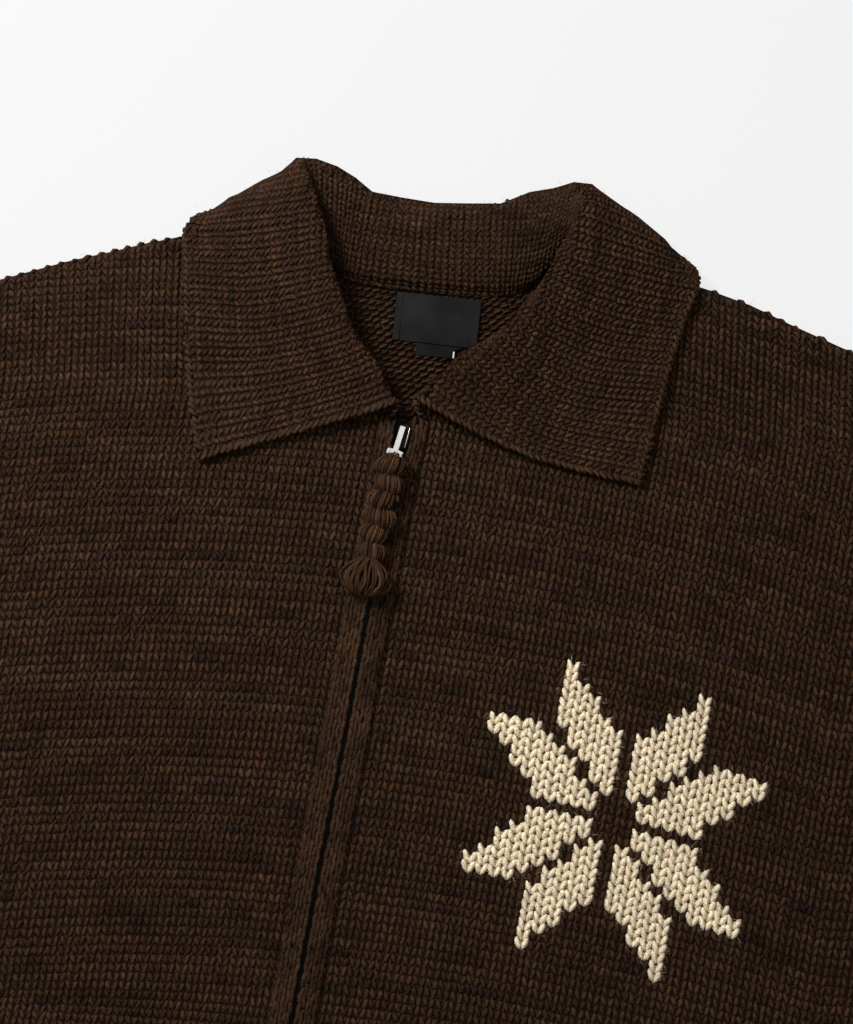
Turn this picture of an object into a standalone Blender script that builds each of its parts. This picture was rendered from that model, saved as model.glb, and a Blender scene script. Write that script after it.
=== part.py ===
"""A chunky knitted zip jacket with a shirt collar, laid flat on its back.

World frame: +Z up, the floor at z = 0, +X to the viewer's right, +Y towards the collar. The origin
is on the underside of the back, in the middle of the body. All sizes are in millimetres and are
turned into metres when a mesh is made.
"""

import math

import bpy
import numpy as np

MM = 0.001

# Driving sizes
CLOTH = 4.5             # thickness of the knitted cloth
SEAM = 0.35             # room between neighbouring pieces
RIB_PITCH = 33.0        # one rib and its furrow
RIB_HEIGHT = 1.6
HEM_DEPTH = 60.0
HEM_DRAW = 8.0          # the rib draws in by this at each side
CUFF_LENGTH = 65.0
SLEEVE_LENGTH = 475.0   # armhole seam to cuff seam, along the middle
CUFF_HALF = 54.0
EDGE_ROLL = 6.0         # how far in from a folded edge the cloth rounds away
THIN_EDGE = 1.3
HIDDEN_FALL = 4.8       # the back panel rises by this over the collar's hidden fall
RAMP_EASE = 10.0        # looser where the fronts follow that rise
TAPE_THICK = 1.2
TAPE_WIDTH = 15.0
TEETH_HALF = 2.3
ZIP_GAP = 2.8           # half the slot between the fronts
ZIP_GAP_TOP = 5.2       # the same where the slider stands
ZIP_TOP = 172.0         # where the slot starts to widen towards the slider
TAPE_RISE = 30.0        # the fronts settle back onto the back this far beyond the tapes
TAPE_ENDS = (-334.0, 205.0)
TEETH_ENDS = (-330.0, 184.0)
TEETH_TALL = 2.2
ZIP_FOOT_X = -52.0      # where the zip meets the hem

# Outline of the body, each a row of x, y
CENTRE = [(0, 214), (-14, 83), (-23.5, -15), (-33, -102), (-41, -184), (-52, -278), (-59, -340)]
SHOULDER_RIGHT_SIDE = [(103, 335), (140, 321), (165, 312), (178, 309), (205, 303), (238, 291.5),
                       (286, 274.5), (326, 260)]
SHOULDER_LEFT_SIDE = [(-84, 334), (-112, 324), (-140, 314), (-150, 315), (-199, 300), (-235, 289),
                      (-270, 276), (-314, 260)]
ARMHOLE_LEFT = [(-314, 260), (-326, 22)]
ARMHOLE_RIGHT = [(326, 260), (345, 25)]
SIDE_LEFT = [(-326, 22), (-334, -100), (-338, -180), (-332, -256)]
SIDE_RIGHT = [(345, 25), (348, -100), (344, -200), (334, -296)]
HEM_LEFT, HEM_LEFT_Y = SIDE_LEFT[-1]
HEM_RIGHT, HEM_RIGHT_Y = SIDE_RIGHT[-1]
HEM_SLOPE = (HEM_LEFT_Y - HEM_RIGHT_Y) / (HEM_RIGHT - HEM_LEFT)

# Front neckline, from the zip up to the shoulder seam, and the back neckline between them
NECK_LEFT = [(-5.4, 208), (-20, 223), (-33, 237), (-47, 255), (-61, 281), (-71, 307), (-84, 334)]
NECK_RIGHT = [(5.4, 210), (18, 223), (34, 236), (52, 251), (71, 268), (86, 290), (103, 335)]
NECK_BACK = [(-84, 334), (-71, 309), (-48, 299), (8, 297), (62, 298), (88, 306), (103, 335)]

# The collar's cross-sections, round the neck from the viewer's left end to the right end: the
# place where the stand is knitted on, with "front" 1 where that is on a front and 0 on the back;
# the crest of the roll; a point half way down the fall; the fall's outer edge. "over" is the
# angle of the cloth at the crest: 0 runs out level, 90 turns straight down.
COLLAR = [
    # front seam_x seam_y  roll_x  roll_y roll_z over  mid_x   mid_y  mid_z   edge_x  edge_y edge_z
    (1, -8.5, 208.0,   -12.0, 215.0, 22.0, 5,    -72.0, 192.0, 14.0,   -131.0, 170.0, 12.4),
    (1, -25.0, 225.0,  -24.0, 235.0, 26.5, 5,    -82.0, 213.0, 14.6,   -138.0, 199.0, 12.4),
    (1, -39.0, 240.0,  -38.0, 253.0, 31.0, 5,    -92.0, 236.0, 16.0,   -143.5, 230.0, 12.6),
    (1, -53.5, 259.0,  -51.0, 276.0, 35.0, 5,    -100.0, 262.0, 19.5,  -147.0, 260.0, 14.6),
    (1, -67.0, 285.0,  -61.0, 304.0, 39.0, 8,    -107.0, 294.0, 25.0,  -150.0, 292.0, 17.8),
    (1, -76.5, 305.0,  -69.0, 332.0, 41.0, 6,    -113.0, 323.0, 30.0,  -151.5, 319.0, 13.0),
    (1, -82.0, 318.0,  -76.0, 350.0, 42.0, 14,   -119.0, 341.0, 20.0,  -134.0, 332.0, 5.0),
    (1, -72.0, 325.0,  -80.0, 366.0, 34.0, 50,   -96.0, 352.0, 9.0,    -103.0, 333.0, 2.4),
    (0, -55.0, 302.0,  -58.0, 363.5, 23.0, 82,   -66.0, 342.0, 3.2,    -71.0, 316.0, 2.4),
    (0, -38.0, 294.5,  -32.0, 353.0, 14.0, 90,   -34.0, 324.0, 2.6,    -36.0, 292.0, 2.4),
    (0, 8.0, 292.6,    7.0, 346.5, 12.0, 90,     7.0, 316.0, 2.5,      7.0, 283.0, 2.4),
    (0, 52.0, 293.5,   50.0, 353.0, 14.0, 90,    50.0, 324.0, 2.6,     50.0, 292.0, 2.4),
    (0, 74.0, 301.0,   84.0, 362.5, 22.0, 82,    88.0, 342.0, 3.2,     91.0, 316.0, 2.4),
    (1, 90.0, 322.0,   103.0, 364.5, 34.0, 55,   124.0, 352.0, 9.0,    128.0, 333.0, 2.4),
    (1, 100.0, 316.0,   104.0, 350.0, 40.0, 22,   152.0, 337.0, 20.0,   164.0, 327.0, 5.0),
    (1, 91.0, 297.0,   98.0, 326.0, 38.5, 12,    141.0, 319.0, 28.0,   181.0, 313.0, 13.0),
    (1, 80.0, 276.0,   86.0, 302.0, 36.0, 10,    131.0, 290.0, 24.0,   174.0, 286.0, 17.6),
    (1, 65.0, 259.5,   70.0, 279.0, 33.0, 8,     118.0, 261.0, 19.0,   168.0, 258.0, 14.6),
    (1, 46.5, 243.0,   50.0, 259.0, 29.5, 8,     105.0, 234.0, 15.6,   163.5, 231.0, 12.6),
    (1, 28.0, 228.0,   29.0, 242.0, 26.0, 8,     92.0, 211.0, 14.4,    158.5, 203.0, 12.4),
    (1, 8.5, 210.0,    10.0, 219.0, 22.0, 5,     80.0, 190.0, 14.0,    153.5, 177.0, 12.4),
]

STAND_LEAN = 50         # degrees that the front of the stand leans in over the neck, from upright

# Sleeve sections: distance from the armhole seam, fall below level in degrees, half width
SLEEVE = [
    # along bend half_width
    (0, 14, 119),
    (55, 20, 112),
    (120, 27, 104),
    (190, 33, 96),
    (260, 38, 89),
    (330, 42, 82),
    (400, 45, 75),
    (SLEEVE_LENGTH, 47, 66),
]

# Labels on the inside of the back
LABEL_CENTRE = (14.6, 272.8)
LABEL_SIZE = (55.0, 31.0)
LABEL_TURN = -1.8       # degrees
LABEL_THICK = 0.9
TAB_CENTRE = (15.4, 253.0)
TAB_SIZE = (26.0, 7.4)

# Slider, pull tab and the braided pull
HINGE = (-1.6, 201.0, 16.6)
PULL_TURN = 9.0         # degrees from straight down the jacket, towards -X
BRAID_LOBES = 6
BRAID_PITCH = 11.4
BRAID_HALF = 9.6
BALL_HALF = (14.5, 12.5, 9.5)


def clear_scene():
    for thing in list(bpy.data.objects):
        bpy.data.objects.remove(thing, do_unlink=True)


def material(name, colour, roughness, metallic=0.0):
    made = bpy.data.materials.new(name)
    made.use_nodes = True
    shader = made.node_tree.nodes["Principled BSDF"]
    shader.inputs["Base Color"].default_value = (*colour, 1.0)
    shader.inputs["Roughness"].default_value = roughness
    shader.inputs["Metallic"].default_value = metallic
    return made


def closed_mesh(name, points, faces, finish):
    """One closed body from points in millimetres, turned so that its faces point out."""
    points = np.asarray(points, float)
    volume = 0.0
    for face in faces:
        first = points[face[0]]
        for second, third in zip(face[1:-1], face[2:]):
            volume += np.dot(first, np.cross(points[second], points[third]))
    if volume < 0:
        faces = [tuple(reversed(face)) for face in faces]
    mesh = bpy.data.meshes.new(name)
    mesh.from_pydata((points * MM).tolist(), [], faces)
    mesh.update()
    mesh.materials.append(finish)
    mesh.shade_smooth()
    mesh.set_sharp_from_angle(angle=math.radians(50))
    thing = bpy.data.objects.new(name, mesh)
    bpy.context.collection.objects.link(thing)
    return thing


def wall(name, under, over, finish):
    """Cloth between two grids of points, each rows x columns x 3, closed along its four edges."""
    rows, columns = under.shape[:2]
    count = rows * columns
    index = np.arange(count).reshape(rows, columns)
    faces = []
    for r in range(rows - 1):
        for c in range(columns - 1):
            a, b, d, e = index[r, c], index[r, c + 1], index[r + 1, c + 1], index[r + 1, c]
            faces += [(a, b, d), (a, d, e)]
            faces += [(a + count, d + count, b + count), (a + count, e + count, d + count)]
    rim = list(index[0, :]) + list(index[1:, -1]) + list(index[-1, -2::-1]) + list(index[-2:0:-1, 0])
    for here, there in zip(rim, rim[1:] + rim[:1]):
        faces += [(here, there + count, there), (here, here + count, there + count)]
    points = np.concatenate([under.reshape(-1, 3), over.reshape(-1, 3)])
    return closed_mesh(name, points, [tuple(int(i) for i in face) for face in faces], finish)


def tube(name, outer, inner, finish):
    """Cloth between two stacks of rings, each rings x points x 3, open at both ends."""
    rings, around = outer.shape[:2]
    count = rings * around
    faces = []
    for r in range(rings - 1):
        for c in range(around):
            a, b = r * around + c, r * around + (c + 1) % around
            d, e = b + around, a + around
            faces += [(a, b, d), (a, d, e)]
            faces += [(a + count, d + count, b + count), (a + count, e + count, d + count)]
    for r, flip in ((0, False), (rings - 1, True)):
        for c in range(around):
            a, b = r * around + c, r * around + (c + 1) % around
            quad = [(a, b + count, b), (a, a + count, b + count)]
            faces += [tuple(reversed(face)) for face in quad] if flip else quad
    points = np.concatenate([outer.reshape(-1, 3), inner.reshape(-1, 3)])
    return closed_mesh(name, points, [tuple(int(i) for i in face) for face in faces], finish)


def step(value):
    """0 below 0, 1 above 1, and smooth between."""
    value = np.clip(value, 0.0, 1.0)
    return value * value * (3 - 2 * value)


def curve(points, smooth=True):
    """A line through the points, read by its share of the length from 0 to 1."""
    points = np.asarray(points, float)
    if smooth and len(points) > 2:
        ends = np.vstack([2 * points[0] - points[1], points, 2 * points[-1] - points[-2]])
        fine = []
        for k in range(1, len(ends) - 2):
            before, start, end, after = ends[k - 1:k + 3]
            for u in np.linspace(0, 1, 9)[:-1]:
                fine.append(0.5 * (2 * start + (end - before) * u
                                   + (2 * before - 5 * start + 4 * end - after) * u ** 2
                                   + (3 * start - before - 3 * end + after) * u ** 3))
        fine.append(points[-1])
        points = np.array(fine)
    length = np.concatenate([[0], np.cumsum(np.linalg.norm(np.diff(points, axis=0), axis=1))])
    length /= length[-1]

    def at(share):
        return np.array([np.interp(share, length, points[:, k]) for k in range(points.shape[1])])

    return at


def joined(first, second, share):
    """Two lines end to end, the first taking the given share of the range."""
    def at(where):
        if where <= share:
            return first(where / share)
        return second((where - share) / (1 - share))

    return at


def patch(bottom, top, left, right, across, up):
    """A grid of x, y inside four edge lines (a Coons patch)."""
    corner = [[bottom(0), bottom(1)], [top(0), top(1)]]
    grid = np.zeros((len(up), len(across), 2))
    for i, v in enumerate(up):
        for j, u in enumerate(across):
            ruled = (1 - v) * bottom(u) + v * top(u) + (1 - u) * left(v) + u * right(v)
            plain = ((1 - v) * ((1 - u) * corner[0][0] + u * corner[0][1])
                     + v * ((1 - u) * corner[1][0] + u * corner[1][1]))
            grid[i, j] = ruled - plain
    return grid


def shares(count, first=0.0, last=0.0):
    """Even steps from 0 to 1, with an extra close line inside each end that has a small share."""
    line = list(np.linspace(0, 1, count + 1))
    if first:
        line[1:1] = [first / 3, first]
    if last:
        line[-1:-1] = [1 - last, 1 - last / 3]
    return line


# Rows of a body panel from hem to neck, closer where it rises over the hidden fall
UPWARD = (0, 0.1, 0.2, 0.3, 0.4, 0.5, 0.6, 0.69, 0.77, 0.83, 0.87, 0.905, 0.935, 0.96, 0.98, 0.99,
          0.997, 1)


def centre_x(y):
    points = np.array(CENTRE[::-1], float)
    return np.interp(y, points[:, 1], points[:, 0])


def lift_share(x, y):
    """0 where the back lies on the floor, 1 where the collar's fall is folded under it."""
    beside = step((x + 214) / 60) * step((244 - x) / 60)
    return beside * step((y - 226) / 46)


def lift(x, y):
    return HIDDEN_FALL * lift_share(x, y)


def back_under(x, y):
    return lift(x, y)


def back_over(x, y):
    return lift(x, y) + CLOTH


def zip_rise(x, y):
    """The fronts lie on the zip tapes along the middle."""
    away = np.abs(x - centre_x(y))
    return (TAPE_THICK + SEAM) * step((TAPE_WIDTH + TAPE_RISE - away) / 20)


def swell(x, y):
    """Slow rises in the fronts, where the cloth doesn't lie quite flat."""
    low = step((250 - y) / 120) * step((y + 260) / 120)
    across = 0.5 + 0.5 * np.sin(x / 74.0 + y / 130.0 + 0.6)
    near_zip = step((np.abs(x - centre_x(y)) - 25) / 60)
    near_side = step((300 - np.abs(x)) / 60)
    return 2.6 * low * across * near_zip * near_side


def front_under(x, y):
    ramp = lift_share(x, y)
    return back_over(x, y) + SEAM + zip_rise(x, y) + swell(x, y) + RAMP_EASE * ramp * (1 - ramp)


def front_over(x, y):
    return front_under(x, y) + CLOTH


def rounded(distance):
    """Share of the cloth's thickness at a distance in from a folded edge."""
    inside = np.clip(1 - distance / EDGE_ROLL, 0, 1)
    return THIN_EDGE / CLOTH + (1 - THIN_EDGE / CLOTH) * np.sqrt(1 - inside ** 2)


def edge_distance(grid, lines):
    """How far each grid point lies from the nearest of some lines."""
    away = np.full(grid.shape[:2], 1e6)
    for line in lines:
        marks = np.array([line(t) for t in np.linspace(0, 1, 160)])
        gap = np.linalg.norm(grid[:, :, None, :] - marks[None, None], axis=3).min(axis=2)
        away = np.minimum(away, gap)
    return away


def hem_y(x):
    """Where the panels end and the hem rib starts."""
    return HEM_LEFT_Y - HEM_SLOPE * (x - HEM_LEFT)


def make_back(cloth):
    left = joined(curve(SIDE_LEFT[::-1]), curve(ARMHOLE_LEFT[::-1]), 0.54)
    right = joined(curve(SIDE_RIGHT[::-1]), curve(ARMHOLE_RIGHT[::-1]), 0.54)
    bottom = curve([SIDE_LEFT[-1], SIDE_RIGHT[-1]])
    shoulder_left = curve(SHOULDER_LEFT_SIDE[::-1])
    neck_and_right = joined(curve(NECK_BACK), curve(SHOULDER_RIGHT_SIDE), 0.46)
    top = joined(shoulder_left, neck_and_right, 0.36)
    grid = patch(bottom, top, left, right, shares(28, 0.006, 0.006), UPWARD)
    x, y = grid[..., 0], grid[..., 1]
    folded = [curve(SIDE_LEFT), curve(SIDE_RIGHT), curve(SHOULDER_LEFT_SIDE), curve(SHOULDER_RIGHT_SIDE)]
    thick = CLOTH * rounded(edge_distance(grid, folded))
    over = np.dstack([x, y, back_over(x, y)])
    under = np.dstack([x, y, back_over(x, y) - thick])
    return wall("back_panel", under, over, cloth)


def make_front(name, sign, cloth):
    """sign is -1 for the viewer's left front and 1 for the right one."""
    side, armhole = (SIDE_LEFT, ARMHOLE_LEFT) if sign < 0 else (SIDE_RIGHT, ARMHOLE_RIGHT)
    neck = NECK_LEFT if sign < 0 else NECK_RIGHT
    shoulder = SHOULDER_LEFT_SIDE if sign < 0 else SHOULDER_RIGHT_SIDE

    def zip_edge(share):
        y = hem_y(ZIP_FOOT_X) + share * (neck[0][1] - hem_y(ZIP_FOOT_X))
        gap = ZIP_GAP + (ZIP_GAP_TOP - ZIP_GAP) * step((y - ZIP_TOP) / 16)
        return np.array([centre_x(y) + sign * gap, y])

    outer = joined(curve(side[::-1]), curve(armhole[::-1]), 0.54)
    bottom = curve([tuple(zip_edge(0)), side[-1]])
    top = joined(curve(neck), curve(shoulder), 0.42)
    first, last = top(0), zip_edge(1)
    middle = zip_edge if np.allclose(first, last) else lambda t: zip_edge(t) + t * (first - last)
    grid = patch(bottom, top, middle, outer, shares(14, 0.012, 0.012), UPWARD)
    x, y = grid[..., 0], grid[..., 1]
    folded = [curve(side), curve(shoulder)]
    thick = CLOTH * rounded(edge_distance(grid, folded))
    under = np.dstack([x, y, front_under(x, y)])
    over = np.dstack([x, y, front_under(x, y) + thick])
    return wall(name, under, over, cloth)


def rib_wave(distance):
    """Height of the rib's outer face at a distance along the band: flat crests, narrow furrows."""
    turn = (distance / RIB_PITCH) % 1.0
    return RIB_HEIGHT * (1 - step((np.abs(turn - 0.5) - 0.26) / 0.12))


def rib_stops(width):
    """Where a band's columns stand, so that each rib has its two shoulders."""
    count = max(1, round(width / RIB_PITCH))
    pitch = width / count
    stops = [0.0]
    for k in range(count):
        stops += [(k + s) * pitch for s in (0.12, 0.24, 0.76, 0.88)]
    stops.append(width)
    return np.array(stops), pitch


def make_hem(name, sign, cloth):
    """A ribbed band below a front, from the zip (sign -1 to the viewer's left, 1 to the right)."""
    end = HEM_LEFT if sign < 0 else HEM_RIGHT
    start = centre_x(hem_y(ZIP_FOOT_X)) + sign * ZIP_GAP
    stops, pitch = rib_stops(abs(end - start))
    under, over = [], []
    for drop in (SEAM, 8.0, HEM_DEPTH - 8.0, HEM_DEPTH):
        low_row, high_row = [], []
        for stop in stops:
            share = stop / stops[-1]
            y = hem_y(start + share * (end - start)) - drop
            near = centre_x(y) + sign * ZIP_GAP
            far = end - sign * HEM_DRAW * float(step(drop / 30))
            x = near + share * (far - near)
            ridge = float(rib_wave(stop / pitch * RIB_PITCH) * step(min(drop, HEM_DEPTH - drop) / 7.0))
            thick = CLOTH * float(rounded(abs(far - x)))
            low = float(front_under(x, y))
            low_row.append((x, y, low))
            high_row.append((x, y, low + thick + ridge))
        under.append(low_row)
        over.append(high_row)
    return wall(name, np.array(under), np.array(over), cloth)


def make_hem_back(cloth):
    """The band below the back, one length, flat where it rests."""
    reach = np.linspace(EDGE_ROLL, 0.5 * (HEM_RIGHT - HEM_LEFT), 9)
    inset = np.concatenate([[0, 2.0], reach])
    low_rows, high_rows = [], []
    for drop in (SEAM, 8.0, HEM_DEPTH - 8.0, HEM_DEPTH):
        left = HEM_LEFT + HEM_DRAW * float(step(drop / 30))
        right = HEM_RIGHT - HEM_DRAW * float(step(drop / 30))
        ends = [left + d for d in inset[:-1]] + [(left + right) / 2] + [right - d for d in inset[-2::-1]]
        low_row, high_row = [], []
        for x in ends:
            y = hem_y(x) - drop
            thick = CLOTH * float(rounded(min(x - left, right - x)))
            low_row.append((x, y, CLOTH - thick))
            high_row.append((x, y, CLOTH))
        low_rows.append(low_row)
        high_rows.append(high_row)
    return wall("hem_rib_back", np.array(low_rows), np.array(high_rows), cloth)


def flat_ring(half, puff, rib=None):
    """The outer and inner outline of a flattened tube, as across, up pairs."""
    height = 2 * CLOTH + SEAM
    bend = height / 2
    flat = np.linspace(-1, 1, 11)
    outer, inner = [], []
    reach = half - bend
    for u in flat:
        outer.append((u * reach, 0.0))
        inner.append((u * (half - CLOTH - 1.2), CLOTH))
    for turn in (-50, 0, 50):
        c, s = math.cos(math.radians(turn)), math.sin(math.radians(turn))
        outer.append((reach + bend * c, bend + bend * s))
        inner.append((half - CLOTH - 0.6 + 0.3 * c, CLOTH + SEAM / 2 + 0.1 * s))
    for u in flat[::-1]:
        rise = puff * (1 - u * u)
        ridge = rib(u) if rib else 0.0
        outer.append((u * reach, height + rise + ridge))
        inner.append((u * (half - CLOTH - 1.2), CLOTH + SEAM + rise))
    for turn in (130, 180, 230):
        c, s = math.cos(math.radians(turn)), math.sin(math.radians(turn))
        outer.append((-reach + bend * c, bend + bend * s))
        inner.append((-half + CLOTH + 0.6 + 0.3 * c, CLOTH + SEAM / 2 + 0.1 * s))
    return np.array(outer), np.array(inner)


def sleeve_path(sign):
    """Middle point, direction and half width of the sleeve by distance from the armhole."""
    armhole = ARMHOLE_LEFT if sign < 0 else ARMHOLE_RIGHT
    top, low = np.array(armhole[0], float), np.array(armhole[-1], float)
    table = np.array(SLEEVE, float)
    start = (top + low) / 2 + np.array([sign * SEAM, 0])
    seam_up = (top - low) / np.linalg.norm(top - low)

    def at(along):
        marks = np.linspace(0, along, 40)
        bend = np.radians(np.interp(marks, table[:, 0], table[:, 1]))
        heading = np.column_stack([sign * np.cos(bend), -np.sin(bend)])
        steps = np.diff(marks)[:, None]
        middle = start + (0.5 * (heading[1:] + heading[:-1]) * steps).sum(axis=0)
        angle = math.radians(np.interp(along, table[:, 0], table[:, 1]))
        square = np.array([sign * math.sin(angle), math.cos(angle)])
        turn = float(step(along / 90.0))
        up = seam_up * (1 - turn) + square * turn
        return middle, up / np.linalg.norm(up), np.interp(along, table[:, 0], table[:, 2])

    return at


def laid_rings(sections):
    """Rings of points in the world from middle, up direction and the across, up outline."""
    outer, inner = [], []
    for middle, up, (out_ring, in_ring) in sections:
        outer.append([(*(middle + up * w), z) for w, z in out_ring])
        inner.append([(*(middle + up * w), z) for w, z in in_ring])
    return np.array(outer), np.array(inner)


def make_sleeve(name, sign, cloth):
    at = sleeve_path(sign)
    sections = []
    for along in (0, 12, 40, 85, 140, 200, 265, 330, 400, 455, SLEEVE_LENGTH - SEAM):
        middle, up, half = at(along)
        puff = 2.8 * float(step(along / 60) * step((SLEEVE_LENGTH - along) / 40))
        sections.append((middle, up, flat_ring(half, puff)))
    return tube(name, *laid_rings(sections), cloth)


def make_cuff(name, sign, cloth):
    at = sleeve_path(sign)
    middle, up, half = at(SLEEVE_LENGTH)
    ahead = np.array([up[1] * sign, -up[0] * sign])
    ribs = round(2 * CUFF_HALF / RIB_PITCH * 2)

    def rib(u):
        return 0.6 * RIB_HEIGHT * (0.5 + 0.5 * math.cos(math.pi * u * ribs))

    sections = []
    for drop in (0.0, 6.0, 14.0, CUFF_LENGTH - 6.0, CUFF_LENGTH):
        wide = half + (CUFF_HALF - half) * float(step(drop / 14.0))
        ridge = rib if 0 < drop < CUFF_LENGTH else None
        sections.append((middle + ahead * drop, up, flat_ring(wide, 0.4, ridge)))
    return tube(name, *laid_rings(sections), cloth)


def collar_middle(rows, across):
    """The middle surface of the collar, rows x across x 3."""
    table = curve_rows(np.array(COLLAR, float), rows)
    roll = table[:, 3:5]
    along = np.gradient(roll, axis=0)
    along /= np.linalg.norm(along, axis=1)[:, None]
    outward = np.column_stack([-along[:, 1], along[:, 0]])
    grid = np.zeros((rows, across, 3))
    for i, row in enumerate(table):
        crest, mid, edge = row[3:6], row[7:10], row[10:13]
        on_front, seam_x, seam_y = min(max(row[0], 0), 1), row[1], row[2]
        carried = (on_front * front_over(seam_x, seam_y) + (1 - on_front) * back_over(seam_x, seam_y))
        seam = np.array([seam_x, seam_y, float(carried) + 3 * SEAM])
        over = math.radians(row[6])
        turn = np.array([*(outward[i] * math.cos(over)), -math.sin(over)])
        lean = math.radians(STAND_LEAN) * max(0.0, 1 - row[6] / 30)
        first = np.array([*(-outward[i] * math.sin(lean)), math.cos(lean)])
        first *= min(np.linalg.norm(crest - seam), 40)
        second = turn * (10 + 12 * math.cos(over))
        third = (edge - crest) * 0.5
        last = (edge - mid) * np.array([0.9, 0.9, 0.4])
        path = []
        for start, end, go, come in ((seam, crest, first, second * 1.6), (crest, mid, second, third),
                                     (mid, edge, third, last)):
            for u in np.linspace(0, 1, 13)[:-1]:
                path.append((2 * u ** 3 - 3 * u ** 2 + 1) * start + (u ** 3 - 2 * u ** 2 + u) * go
                            + (3 * u ** 2 - 2 * u ** 3) * end + (u ** 3 - u ** 2) * come)
        path.append(edge)
        line = curve(path, smooth=False)
        grid[i] = [line(t) for t in np.linspace(0, 1, across)]
    return rested(grid)


def rested(grid):
    """The fall is laid on the fronts where it lies above them, and on the floor below the back."""
    half = CLOTH / 2
    x, y, z = grid[..., 0], grid[..., 1], grid[..., 2]
    carried = front_over(x, y) + half + 4 * SEAM
    fall = np.zeros(z.shape, bool)
    fall[:, grid.shape[1] // 3:] = True
    on_front = fall & (z > 9.5) & (y < shoulder_y(x) + 5)
    z[on_front] = np.maximum(z, carried)[on_front]
    np.maximum(z, half + 0.1, out=z)
    return grid


def shoulder_y(x):
    """Where the body's folded upper edge lies."""
    line = np.array(SHOULDER_LEFT_SIDE[::-1] + SHOULDER_RIGHT_SIDE, float)
    return np.interp(x, line[:, 0], line[:, 1])


def curve_rows(table, rows):
    """A table's rows read at even steps from the first to the last, smoothly."""
    place = np.arange(len(table))
    padded = np.vstack([2 * table[0] - table[1], table, 2 * table[-1] - table[-2]])
    out = []
    for where in np.linspace(0, len(place) - 1, rows):
        k = min(int(where), len(place) - 2)
        u = where - k
        before, start, end, after = padded[k:k + 4]
        out.append(0.5 * (2 * start + (end - before) * u
                          + (2 * before - 5 * start + 4 * end - after) * u ** 2
                          + (3 * start - before - 3 * end + after) * u ** 3))
    return np.array(out)


def squeezed(middle, normal, half):
    """One side of a wall, moved out by half its thickness, or by less inside a tight bend."""
    room = np.full(middle.shape[:2], half)
    for _ in range(12):
        side = middle + normal * room[..., None]
        for axis in (0, 1):
            true, moved = np.diff(middle, axis=axis), np.diff(side, axis=axis)
            folded = (true * moved).sum(axis=2) < 0.3 * (true * true).sum(axis=2)
            tight = np.zeros(room.shape, bool)
            if axis == 0:
                tight[:-1] |= folded
                tight[1:] |= folded
            else:
                tight[:, :-1] |= folded
                tight[:, 1:] |= folded
            room[tight] *= 0.88
    return middle + normal * room[..., None]


def make_collar(cloth):
    middle = collar_middle(41, 16)
    along = np.gradient(middle, axis=0)
    across = np.gradient(middle, axis=1)
    normal = np.cross(along, across)
    normal[:, 0, 2] = 0.0
    normal /= np.linalg.norm(normal, axis=2)[..., None]
    return wall("collar", squeezed(middle, -normal, CLOTH / 2), squeezed(middle, normal, CLOTH / 2), cloth)


def make_tape(name, sign, cloth):
    lengths = np.linspace(*TAPE_ENDS, 12)
    under, over = [], []
    for y in lengths:
        x = centre_x(y)
        near, far = x + sign * 0.3, x + sign * TAPE_WIDTH
        low = back_over(np.array([near, far]), np.array([y, y])) + SEAM
        under.append([(near, y, low[0]), (far, y, low[1])])
        over.append([(near, y, low[0] + TAPE_THICK), (far, y, low[1] + TAPE_THICK)])
    return wall(name, np.array(under), np.array(over), cloth)


def make_teeth(finish):
    lengths = np.linspace(*TEETH_ENDS, 12)
    under, over = [], []
    low = CLOTH + 2 * SEAM + TAPE_THICK
    for y in lengths:
        x = centre_x(y)
        under.append([(x - TEETH_HALF, y, low), (x + TEETH_HALF, y, low)])
        over.append([(x - TEETH_HALF, y, low + TEETH_TALL), (x + TEETH_HALF, y, low + TEETH_TALL)])
    return wall("zip_teeth", np.array(under), np.array(over), finish)


def outline_plate(name, outline, low, high, turn, place, finish):
    """An upright prism of a plan outline, turned about its origin and put in place."""
    c, s = math.cos(math.radians(turn)), math.sin(math.radians(turn))
    laid = [(place[0] + c * x - s * y, place[1] + s * x + c * y) for x, y in outline]
    count = len(laid)
    points = [(x, y, low) for x, y in laid] + [(x, y, high) for x, y in laid]
    faces = [tuple(range(count)), tuple(range(count, 2 * count))[::-1]]
    for k in range(count):
        n = (k + 1) % count
        faces.append((k, k + count, n + count, n))
    return closed_mesh(name, points, faces, finish)


def make_slider(metal):
    """The slider's body on the teeth, pinched at its middle, with the plate that carries the tab."""
    outline = [(-4.2, 6.5), (-2.0, 8.0), (2.0, 8.0), (4.2, 6.5), (3.9, -1.0), (3.2, -7.0), (-3.2, -7.0),
               (-3.9, -1.0)]
    low = CLOTH + 3 * SEAM + TAPE_THICK + TEETH_TALL
    return outline_plate("zip_slider", outline, low, HINGE[2] - 1.4, -6, (-0.9, 195.0), metal)


def make_pull_tab(metal):
    """A flat bar hinged on the slider, with a crosspiece that holds the wool."""
    outline = [(-1.7, 1.0), (1.7, 1.0), (1.7, -14.6), (5.2, -15.2), (5.4, -18.4), (-5.4, -18.4),
               (-5.2, -15.2), (-1.7, -14.6)]
    return outline_plate("pull_tab", outline, HINGE[2] - 0.8, HINGE[2] + 0.8, -PULL_TURN - 4,
                         HINGE[:2], metal)


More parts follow.
